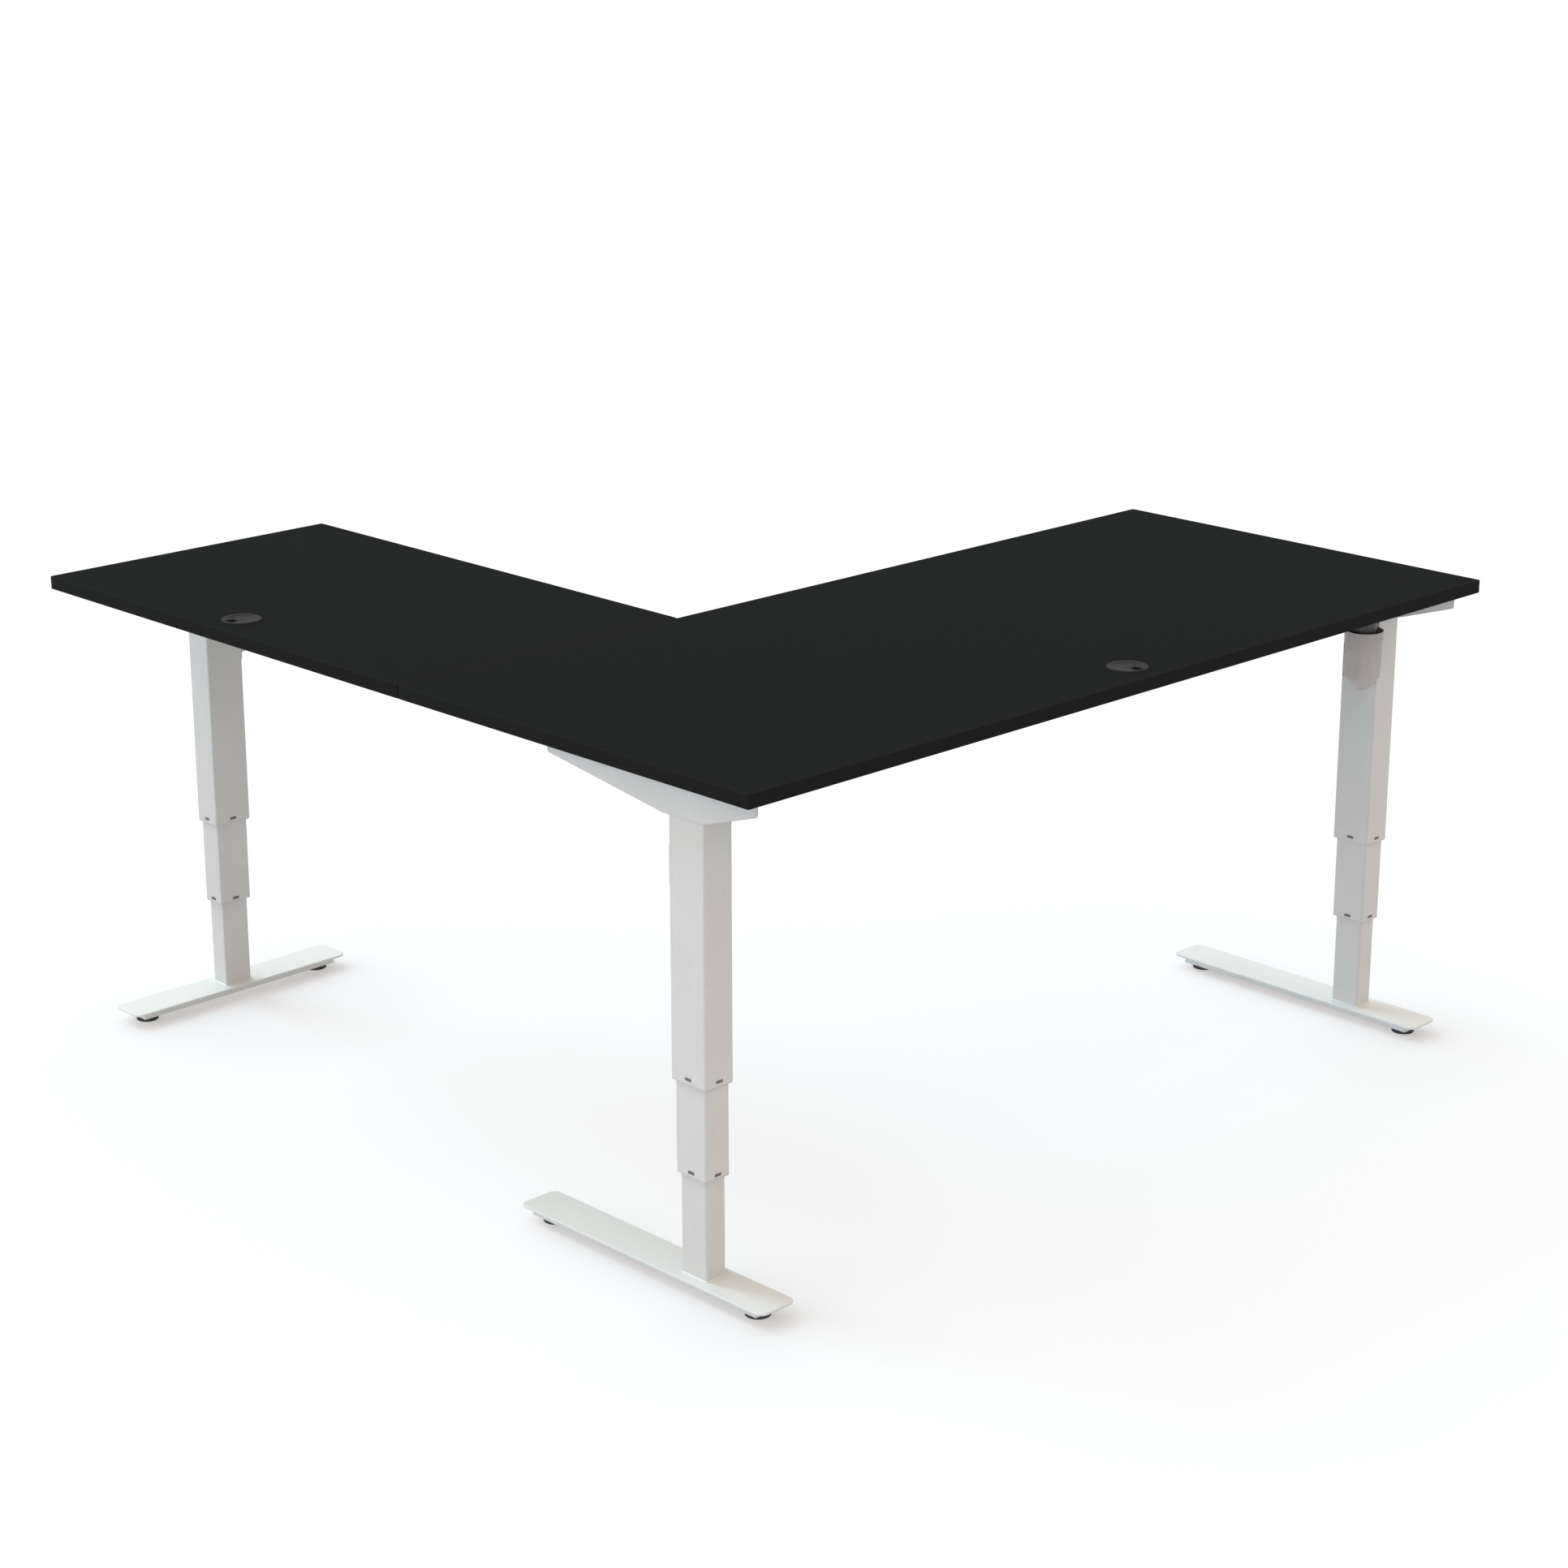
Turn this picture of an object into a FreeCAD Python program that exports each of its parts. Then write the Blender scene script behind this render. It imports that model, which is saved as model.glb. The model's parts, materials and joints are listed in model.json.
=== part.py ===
import FreeCAD, Part
import math
import os

# Height-adjustable L-shaped standing desk: two boards on three motor-driven, three-stage
# lifting columns. Millimetres, +Z up, origin on the floor under the middle of the footprint.
# "Back" is the long outer edge of the main board (-Y); the user sits in the inner corner.

# ---- boards ----
DESK_W = 1800.0            # overall width, along X
DESK_D = 1800.0            # overall depth, along Y
MAIN_D = 800.0             # depth of the main board
RETURN_W = 600.0           # width of the return board
DESK_H = 855.0             # height of the worktop as drawn
BOARD_T = 23.0
BOARD_CORNER_R = 3.0
BOARD_EDGE_R = 0.8
SEAM = 0.6                 # gap between the two boards

# ---- legs ----
SIDE_INSET = 72.0          # corner and right columns, from the side edges
BACK_INSET = 178.0         # corner and right columns, from the back edge
END_INSET = 66.0           # left column, from the return's far edge
LEFT_COLUMN_X = 298.0      # left column, from the left edge

HEAD_DROP = 508.0          # worktop down to the outer tube's lower end
MIDDLE_SHOWN = 152.5       # middle tube showing, as drawn
LEFT_MIDDLE_LAG = 4.5      # the left middle tube hangs this much lower
OUTER = (58.0, 76.0)       # tube sections: across the foot, along the foot
MIDDLE = (49.0, 66.5)
INNER = (39.5, 56.5)
TUBE_WALL = 2.0
TUBE_R = 3.0
HEAD_H = 34.0              # gearbox height, between the arm flange and the outer tube
MIDDLE_LEN = 450.0
INNER_LEN = 455.0
CAP_T = 8.0                # threaded cap in the middle tube's upper end

BUSH_H = 40.0
SLOT_W = 13.0
SLOT_H = 4.5
OUTER_SLOT_UP = 8.5        # slot centre above the outer tube's lower end
MIDDLE_SLOT_UP = 7.0
SLOT_GAP = 0.1             # around the bush's noses
SLIDE_GAP = 0.1            # running fit of bushes, spindles and beams

# ---- feet ----
FOOT_W = 76.5
FOOT_T = 4.0
FOOT_R = 15.0
FOOT_EDGE_R = 1.2
FOOT_TOP = 26.0            # top of the foot plate above the floor
FOOT_BACK = 166.0          # corner and right feet, column centre to either end
FOOT_FRONT = 395.0
LEFT_FOOT_HALF = 240.0
RIB_W = 56.0               # folded stiffener under the plate
RIB_H = 12.0
RIB_WALL = 2.5
RIB_R = 1.5
RIB_INSET = 23.0
PAD_INSET = 46.0           # pad centre from the plate's end
PAD_D = 41.0
PAD_H = 8.0
PAD_CHAMFER = 1.5
STUD_D = 8.0
STUD_LEN = 12.5
STUD_BOSS_D = 18.0
STUD_GAP = 0.08

# ---- arms under the board ----
ARM_T = 3.0
ARM_REACH = 38.0           # flange, past the column centre on the open side
ARM_BACK = 153.0
ARM_FRONT = 307.0
LEFT_ARM_HALF = 230.0
ARM_DEEP = 64.4            # web depth beside the column
ARM_SHALLOW = 26.5         # web depth at its ends
ARM_KNEE = 46.0            # level part of the web ends this far in front of the column
ARM_END_R = 5.0
ARM_FOLD_R = 2.5
ARM_SCREWS_BACK = (18.0, 78.0)     # screws, from the arm's back end
ARM_SCREWS_FRONT = (92.0, 17.0)    # screws, from its front end

# ---- beams ----
BEAM = (60.0, 28.0)        # sleeve section: width, height
BEAM_WALL = 2.0
MAIN_BEAM_Y = 330.0        # from the back edge
RETURN_BEAM_X = 186.0      # from the left edge
BEAM_END_GAP = 4.0         # beam end to arm web
BEAM_END_T = 6.0           # solid end walls that take bolts
SHOE_LEN = 75.0            # full-section end of a slide
MAIN_JOINT = 100.0         # sleeve ends / slide starts, either side of the middle
RETURN_JOINT = (150.0, -50.0)
SEAM_PLATE = (60.0, 160.0, 3.0)
SEAM_PLATE_R = 6.0
SEAM_PLATE_X = (90.0, 450.0)
SEAM_SCREW_PITCH = (30.0, 120.0)

# ---- fasteners ----
SCREW_D = 4.0
SCREW_HEAD_D = 9.0
SCREW_HEAD_H = 2.4
SCREW_BITE = 14.0
BOLT_D = 6.0
BOLT_HEAD_D = 10.0
BOLT_HEAD_H = 4.0
BOLT_PITCH = 30.0
ACCESS_D = 14.0

# ---- drive ----
RIM_DROP = 92.0            # worktop to the rim of the motor cover
SHOULDER_DROP = 178.0
NOSE_DROP = 202.0
COVER_RIM_R = 34.5
COVER_LOW_R = 31.0
COVER_NOSE_R = 9.0
COVER_WALL = 2.2
FLAT_APOTHEM = 29.2
FLAT_DROP = 128.0          # worktop to the crown of the flats
FLAT_TOP = 1.0             # level stretch at a flat's crown
BORE_LEAN = 8.0            # height over which the bore widens above the flats
BACK_PLATE = (2.5, 3.0, 137.0, 200.0)   # thickness, side margin, top and foot below worktop
BACK_RIB_W = 8.0
MOTOR_R = 22.0
MOTOR_CHAMFER = 2.0
MOTOR_END_GAP = 12.0       # motor tail to the shoulder of its cover
PLUG = (18.0, 12.0, 30.0)  # motor connector: along, across, height
GEAR_R = 30.0
GEAR_BRIDGE = 44.0
SPINDLE_R = 7.0
SPINDLE_LEN = 430.0
SPINDLE_SEAT = 14.0

# ---- grommets ----
GROMMETS = {"left": (63.5, 1308.0, 180.0), "right": (905.0, 63.5, 270.0)}
GROMMET_RIM_R = 34.5
GROMMET_RIM_H = 2.0
GROMMET_RIM_EDGE_R = 1.2
GROMMET_HOLE_R = 30.0
GROMMET_BORE_R = 26.0
GROMMET_FIT = 0.1
CAP_R = 28.0
CAP_THICK = 3.0
NOTCH_W = 18.0
NOTCH_IN = 10.5
NOTCH_R = 4.0

# ---- control box ----
CASE = (250.0, 105.0, 38.0)
CASE_AT = (1030.0, 535.0)  # centre, from the left and back edges
CASE_WALL = 2.5
CASE_R = 4.0
CASE_EAR = (16.0, 90.0, 3.0)       # fixing ear: reach, width, thickness
CASE_SCREW_PITCH = 70.0
LID_T = 2.0
PORT_BLOCK = (170.0, 14.0, 24.0)
PORT_BLOCK_UP = 4.0        # above the lid
PORT_COUNT = 4
PORT = (16.0, 10.0)
PORT_FIRST = 16.0          # centre of the first port, from the block's end
PORT_PITCH = 26.0
PORT_DEEP = 9.0
INLET = (27.0, 19.0)
INLET_IN = 8.0             # from the block's other end
INLET_R = 3.0
PIN = (2.0, 6.0)           # width, height
PIN_PITCH = 7.0
PIN_SET_IN = 2.0
PIN_STAGGER = 1.0          # the middle pin sits this much higher

# ---- handset ----
HANDSET = (120.0, 46.0, 24.0)
HANDSET_X = 1250.0
HANDSET_LIP = 12.0         # in front of the board's edge
HANDSET_R = 4.0
HANDSET_WALL = 2.5
HANDSET_TAB = (16.0, 3.0)  # fixing tab under the board: depth, thickness
HANDSET_SCREW_IN = 14.0    # from the handset's sides
DISPLAY = (34.0, 14.0, 1.5)
DISPLAY_AT = -22.0
KEY = (18.0, 12.0)
KEY_AT = (14.0, 38.0)
KEY_GAP = 0.3
KEY_TRAVEL = 1.0
KEY_FLANGE = 1.5           # thickness of the flange behind the case's wall
KEY_FLANGE_OUT = 1.5
KEY_R = 0.6

# ---- levels and reference lines ----
left_edge = -DESK_W / 2
back_edge = -DESK_D / 2
board_z = DESK_H - BOARD_T
flange_z = board_z - ARM_T
head_z = flange_z - HEAD_H
outer_low = DESK_H - HEAD_DROP
main_front = back_edge + MAIN_D
main_beam_y = back_edge + MAIN_BEAM_Y
return_beam_x = left_edge + RETURN_BEAM_X


class Leg:
    """One leg: where it stands, which way its foot runs, and how its arm and motor sit.
    Local +Y is the foot's long direction; the web of the arm is on the local X side `web`."""

    def __init__(self, name, at, turn, web, foot, arm, motor, face, lag):
        self.name, self.at, self.turn, self.web = name, at, turn, web
        self.foot, self.arm, self.motor, self.face = foot, arm, motor, face
        self.middle_low = outer_low - MIDDLE_SHOWN - lag

    def place(self, shape):
        out = shape.copy()
        out.rotate(FreeCAD.Vector(0, 0, 0), FreeCAD.Vector(0, 0, 1), self.turn)
        out.translate(FreeCAD.Vector(self.at[0], self.at[1], 0))
        return out

    def screw_rows(self):
        back, front = self.arm
        return ([y - back for y in ARM_SCREWS_BACK]
                + [front - y for y in ARM_SCREWS_FRONT])


corner = Leg("corner", (left_edge + SIDE_INSET, back_edge + BACK_INSET), 0, -1,
             (FOOT_BACK, FOOT_FRONT), (ARM_BACK, ARM_FRONT), (48.0, 71.0), 90, 0)
right = Leg("right", (-left_edge - SIDE_INSET, back_edge + BACK_INSET), 0, 1,
            (FOOT_BACK, FOOT_FRONT), (ARM_BACK, ARM_FRONT), (-70.0, -36.0), 180, 0)
left = Leg("left", (left_edge + LEFT_COLUMN_X, -back_edge - END_INSET), -90, 1,
           (LEFT_FOOT_HALF, LEFT_FOOT_HALF), (LEFT_ARM_HALF, LEFT_ARM_HALF),
           (-31.0, 76.0), 90, LEFT_MIDDLE_LAG)
LEGS = (corner, right, left)


# ---- shape helpers ----
def box(x0, x1, y0, y1, z0, z1):
    return Part.makeBox(x1 - x0, y1 - y0, z1 - z0, FreeCAD.Vector(x0, y0, z0))


def cyl(r, z0, z1, x=0.0, y=0.0):
    return Part.makeCylinder(r, z1 - z0, FreeCAD.Vector(x, y, z0))


def edges_along(shape, axis, test=lambda p: True):
    """Straight edges parallel to an axis (0, 1, 2) whose midpoint passes the test."""
    found = []
    for e in shape.Edges:
        if len(e.Vertexes) == 2 and isinstance(e.Curve, Part.Line):
            d = e.Vertexes[1].Point - e.Vertexes[0].Point
            if abs(d[axis]) > 0.999 * d.Length and test(e.CenterOfMass):
                found.append(e)
    return found


def block(cx, cy, w, d, z0, z1, r):
    """Upright block with rounded vertical corners."""
    b = box(cx - w / 2, cx + w / 2, cy - d / 2, cy + d / 2, z0, z1)
    return b.makeFillet(r, edges_along(b, 2))


def tube(size, wall, r, z0, z1):
    return block(0, 0, size[0], size[1], z0, z1, r).cut(
        block(0, 0, size[0] - 2 * wall, size[1] - 2 * wall, z0 - 1, z1 + 1, r - wall / 2))


def bar(axis, centre, width, z0, z1, start, end):
    """Rectangular bar along X (axis 0) or Y (axis 1)."""
    if axis == 0:
        return box(start, end, centre - width / 2, centre + width / 2, z0, z1)
    return box(centre - width / 2, centre + width / 2, start, end, z0, z1)


def screw(x, y, z):
    """Pan-head wood screw driven up; z is the underside of what it clamps."""
    return cyl(SCREW_HEAD_D / 2, z - SCREW_HEAD_H, z, x, y).fuse(
        cyl(SCREW_D / 2, z, board_z + SCREW_BITE, x, y))


def bolt(start, direction, grip):
    """Cap-head bolt: the head ends at `start`, the shank runs on along `direction`."""
    head = Part.makeCylinder(BOLT_HEAD_D / 2, BOLT_HEAD_H, start - direction * BOLT_HEAD_H,
                             direction)
    return head.fuse(Part.makeCylinder(BOLT_D / 2, grip, start, direction))


def save(name, shape):
    shape.exportStep("parts/" + name + ".step")


os.makedirs("parts", exist_ok=True)


# ---- every screw into the boards: (x, y, underside of the clamped piece) ----
arm_screws = []
for leg in LEGS:
    for row in leg.screw_rows():
        p = leg.place(Part.Vertex(0, row, 0)).Point
        arm_screws.append((p.x, p.y, flange_z))
seam_screws = [(left_edge + px + sx, main_front + sy, board_z - SEAM_PLATE[2])
               for px in SEAM_PLATE_X
               for sx in (-SEAM_SCREW_PITCH[0] / 2, SEAM_SCREW_PITCH[0] / 2)
               for sy in (-SEAM_SCREW_PITCH[1] / 2, SEAM_SCREW_PITCH[1] / 2)]
case_x, case_y = left_edge + CASE_AT[0], back_edge + CASE_AT[1]
case_screws = [(case_x + s * (CASE[0] + CASE_EAR[0]) / 2, case_y + t * CASE_SCREW_PITCH / 2,
                board_z - CASE_EAR[2]) for s in (-1, 1) for t in (-1, 1)]
handset_x = left_edge + HANDSET_X
handset_front = main_front + HANDSET_LIP
handset_screws = [(handset_x + s * (HANDSET[0] / 2 - HANDSET_SCREW_IN),
                   handset_front - HANDSET[1] + HANDSET_TAB[0] / 2, board_z - HANDSET_TAB[1])
                  for s in (-1, 1)]
all_screws = arm_screws + seam_screws + case_screws + handset_screws
save("top_screws", Part.Compound([screw(*s) for s in all_screws]))


# ---- boards ----
def board(name, x0, x1, y0, y1):
    b = box(x0, x1, y0, y1, board_z, DESK_H)
    b = b.makeFillet(BOARD_CORNER_R, edges_along(b, 2))
    rim = [e for e in b.Edges if abs(e.BoundBox.ZMin - e.BoundBox.ZMax) < 0.01]
    b = b.makeFillet(BOARD_EDGE_R, rim)
    for gx, gy, _ in GROMMETS.values():
        b = b.cut(cyl(GROMMET_HOLE_R, board_z - 1, DESK_H + 1, left_edge + gx, back_edge + gy))
    pilots = [cyl(SCREW_D / 2, board_z - 1, board_z + SCREW_BITE, x, y) for x, y, _ in all_screws]
    save(name, b.cut(pilots))


board("main_top", left_edge, -left_edge, back_edge, main_front)
board("return_top", left_edge, left_edge + RETURN_W, main_front + SEAM, -back_edge)

plates = []
for px in SEAM_PLATE_X:
    p = block(left_edge + px, main_front, SEAM_PLATE[0], SEAM_PLATE[1],
              board_z - SEAM_PLATE[2], board_z, SEAM_PLATE_R)
    plates.append(p.cut([cyl(SCREW_D / 2, 0, DESK_H, x, y) for x, y, _ in seam_screws]))
save("seam_plates", Part.Compound(plates))


# ---- grommets: a flanged liner in the board and a turning cap with a cable notch ----
def grommet(name, gx, gy, notch_turn):
    x, y = left_edge + gx, back_edge + gy
    rim_z = DESK_H + GROMMET_RIM_H
    liner = cyl(GROMMET_RIM_R, DESK_H, rim_z, x, y)
    liner = liner.makeFillet(GROMMET_RIM_EDGE_R, [
        e for e in liner.Edges if e.BoundBox.ZMin > rim_z - 0.01])
    liner = liner.fuse(cyl(GROMMET_HOLE_R - GROMMET_FIT, board_z, DESK_H, x, y))
    liner = liner.cut(cyl(GROMMET_BORE_R, board_z - 1, rim_z + 1, x, y))
    liner = liner.cut(cyl(CAP_R + GROMMET_FIT, rim_z - CAP_THICK, rim_z + 1, x, y))
    save("grommet_" + name + "_liner", liner.removeSplitter())

    cap = cyl(CAP_R, rim_z - CAP_THICK + GROMMET_FIT / 2, rim_z, x, y)
    notch = box(x + NOTCH_IN, x + CAP_R + 2, y - NOTCH_W / 2, y + NOTCH_W / 2,
                rim_z - 2 * CAP_THICK, rim_z + 1)
    notch = notch.makeFillet(NOTCH_R, edges_along(notch, 2, lambda p: p.x < x + NOTCH_IN + 1))
    cap = cap.cut(notch)
    cap.rotate(FreeCAD.Vector(x, y, 0), FreeCAD.Vector(0, 0, 1), notch_turn)
    save("grommet_" + name + "_cap", cap)


for grommet_name, spot in GROMMETS.items():
    grommet(grommet_name, *spot)


# ---- arms: an angle under the board, its web tapering away from the column ----
def arm(leg):
    back, front = leg.arm
    outside = leg.web * (OUTER[0] / 2 + ARM_T)
    inside = leg.web * OUTER[0] / 2
    far = -leg.web * ARM_REACH
    low, end = board_z - ARM_DEEP, board_z - ARM_SHALLOW
    outline = [(-back, board_z), (-back, end), (-OUTER[1] / 2, low), (ARM_KNEE, low),
               (front, end), (front, board_z)]
    pts = [FreeCAD.Vector(inside, y, z) for y, z in outline]
    web = Part.Face(Part.makePolygon(pts + pts[:1])).extrude(
        FreeCAD.Vector(outside - inside, 0, 0))
    web = web.makeFillet(ARM_END_R, edges_along(web, 0, lambda p: abs(p.z - end) < 0.1))
    flange = box(min(outside, far), max(outside, far), -back, front, flange_z, board_z)
    a = web.fuse(flange).removeSplitter()
    a = a.makeFillet(ARM_FOLD_R, edges_along(
        a, 1, lambda p: abs(p.x - outside) < 0.1 and abs(p.z - board_z) < 0.1))
    holes = [cyl(SCREW_D / 2, flange_z - 1, board_z + 1, 0, row) for row in leg.screw_rows()]
    return a.cut(holes)


# ---- beams: sleeves with a slide inside, bolted up to the arms ----
beam_top = flange_z
beam_low = flange_z - BEAM[1]
slide_w = BEAM[0] - 2 * (BEAM_WALL + SLIDE_GAP)
slide_z = (beam_low + BEAM_WALL + SLIDE_GAP, beam_top - BEAM_WALL - SLIDE_GAP)


def hollow(axis, centre, width, z0, z1, start, end, wall_start=0.0, wall_end=0.0):
    """Rectangular tube; a wall thickness of 0 leaves that end open."""
    lo = start + wall_start if wall_start else start - 1
    hi = end - wall_end if wall_end else end + 1
    return bar(axis, centre, width, z0, z1, start, end).cut(
        bar(axis, centre, width - 2 * BEAM_WALL, z0 + BEAM_WALL, z1 - BEAM_WALL, lo, hi))


def slide(axis, centre, start, shoe_start, end, wall_end=0.0):
    """Inner beam whose last length has the sleeve's section."""
    inner = hollow(axis, centre, slide_w, slide_z[0], slide_z[1], start, shoe_start + 1)
    shoe = hollow(axis, centre, BEAM[0], beam_low, beam_top, shoe_start, end,
                  BEAM_END_T, wall_end)
    mouth = bar(axis, centre, slide_w - 2 * BEAM_WALL, slide_z[0] + BEAM_WALL,
                slide_z[1] - BEAM_WALL, shoe_start - 1, shoe_start + BEAM_END_T + 1)
    return inner.fuse(shoe).cut(mouth)


up = FreeCAD.Vector(0, 0, 1)
forward = FreeCAD.Vector(0, 1, 0)
corner_x, right_x = corner.at[0], right.at[0]
beam_start = corner_x - OUTER[0] / 2 + BEAM_END_GAP
beam_end = right_x + OUTER[0] / 2 - BEAM_END_GAP
bolt_rows = [main_beam_y - BOLT_PITCH / 2, main_beam_y + BOLT_PITCH / 2]
arm_bolts = {"corner": [(corner_x, y) for y in bolt_rows],
             "right": [(right_x, y) for y in bolt_rows], "left": []}
return_start = main_beam_y + BEAM[0] / 2
return_end = left.at[1] - OUTER[0] / 2 - ARM_T
return_bolts_x = [return_beam_x - BOLT_PITCH / 2, return_beam_x + BOLT_PITCH / 2]
beam_mid_z = (beam_low + beam_top) / 2


def upright_cuts(points):
    """Bolt clearance through the top wall and tool access through the bottom wall."""
    return ([cyl(BOLT_D / 2, beam_mid_z, beam_top + 1, x, y) for x, y in points]
            + [cyl(ACCESS_D / 2, beam_low - 1, beam_mid_z, x, y) for x, y in points])


def level_hole(x, y, length):
    return Part.makeCylinder(BOLT_D / 2, length, FreeCAD.Vector(x, y, beam_mid_z), forward)


sleeve = hollow(0, main_beam_y, BEAM[0], beam_low, beam_top, beam_start, MAIN_JOINT)
sleeve = sleeve.cut(upright_cuts(arm_bolts["corner"]))
side_wall_y = return_start - BEAM_WALL
sleeve = sleeve.cut([level_hole(x, side_wall_y - 1, BEAM_WALL + 2) for x in return_bolts_x])
save("main_beam_sleeve", sleeve)
main_slide = slide(0, main_beam_y, -MAIN_JOINT, beam_end - SHOE_LEN, beam_end)
save("main_beam_slide", main_slide.cut(upright_cuts(arm_bolts["right"])))
sleeve = hollow(1, return_beam_x, BEAM[0], beam_low, beam_top, return_start,
                RETURN_JOINT[0], BEAM_END_T)
save("return_beam_sleeve", sleeve.cut([level_hole(x, return_start - 1, BEAM_END_T + 2)
                                       for x in return_bolts_x]))
return_slide = slide(1, return_beam_x, RETURN_JOINT[1], return_end - SHOE_LEN, return_end,
                     BEAM_END_T)
save("return_beam_slide", return_slide.cut(
    [level_hole(x, return_end - BEAM_END_T - 1, BEAM_END_T + 2) for x in return_bolts_x]))

bolts = [bolt(FreeCAD.Vector(x, y, beam_top - BEAM_WALL), up, BEAM_WALL + ARM_T)
         for pair in arm_bolts.values() for x, y in pair]
bolts += [bolt(FreeCAD.Vector(x, side_wall_y, beam_mid_z), forward, BEAM_WALL + BEAM_END_T)
          for x in return_bolts_x]
bolts += [bolt(FreeCAD.Vector(x, return_end + ARM_T, beam_mid_z), -forward, ARM_T + BEAM_END_T)
          for x in return_bolts_x]
save("frame_bolts", Part.Compound(bolts))

for leg in LEGS:
    a = leg.place(arm(leg))
    holes = [cyl(BOLT_D / 2, flange_z - 1, board_z + 1, x, y) for x, y in arm_bolts[leg.name]]
    if leg is left:
        holes = [level_hole(x, return_end - 1, ARM_T + 2) for x in return_bolts_x]
    save(leg.name + "_arm", a.cut(holes))


# ---- columns ----
def slot_blocks(size, wall, z, grow):
    """Four small blocks through the tube wall, one per face."""
    w, h = SLOT_W / 2 + grow, SLOT_H / 2 + grow
    x1, y1 = size[0] / 2, size[1] / 2
    x0, y0 = x1 - wall - SLOT_GAP, y1 - wall - SLOT_GAP
    return [box(x0, x1, -w, w, z - h, z + h), box(-x1, -x0, -w, w, z - h, z + h),
            box(-w, w, y0, y1, z - h, z + h), box(-w, w, -y1, -y0, z - h, z + h)]


def slotted_tube(size, low, high, slot_z):
    t = tube(size, TUBE_WALL, TUBE_R, low, high)
    return t.cut(slot_blocks(size, TUBE_WALL, slot_z, SLOT_GAP))


def bush(size, inner_size, low, slot_z):
    """Plastic liner in a tube's lower end, with a nose in each slot."""
    w, d = size[0] - 2 * TUBE_WALL, size[1] - 2 * TUBE_WALL
    ring = block(0, 0, w, d, low, low + BUSH_H, TUBE_R - TUBE_WALL / 2)
    ring = ring.cut(block(0, 0, inner_size[0] + 2 * SLIDE_GAP, inner_size[1] + 2 * SLIDE_GAP,
                          low - 1, low + BUSH_H + 1, TUBE_R))
    return ring.fuse(slot_blocks(size, TUBE_WALL, slot_z, 0.0)).removeSplitter()


def column(leg):
    middle_high = leg.middle_low + MIDDLE_LEN
    slot_z = outer_low + OUTER_SLOT_UP
    parts = {"outer_tube": slotted_tube(OUTER, outer_low, head_z, slot_z),
             "outer_bush": bush(OUTER, MIDDLE, outer_low, slot_z)}

    slot_z = leg.middle_low + MIDDLE_SLOT_UP
    middle = slotted_tube(MIDDLE, leg.middle_low, middle_high, slot_z)
    cap = block(0, 0, MIDDLE[0] - TUBE_WALL, MIDDLE[1] - TUBE_WALL,
                middle_high - CAP_T, middle_high, TUBE_R / 2)
    middle = middle.fuse(cap).cut(cyl(SPINDLE_R + SLIDE_GAP, leg.middle_low, middle_high + 1))
    parts["middle_tube"] = middle.removeSplitter()
    parts["middle_bush"] = bush(MIDDLE, INNER, leg.middle_low, slot_z)
    parts["inner_tube"] = tube(INNER, TUBE_WALL, TUBE_R, FOOT_TOP, FOOT_TOP + INNER_LEN)
    parts["spindle"] = cyl(SPINDLE_R, head_z - SPINDLE_LEN, head_z + SPINDLE_SEAT)
    return parts


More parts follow.
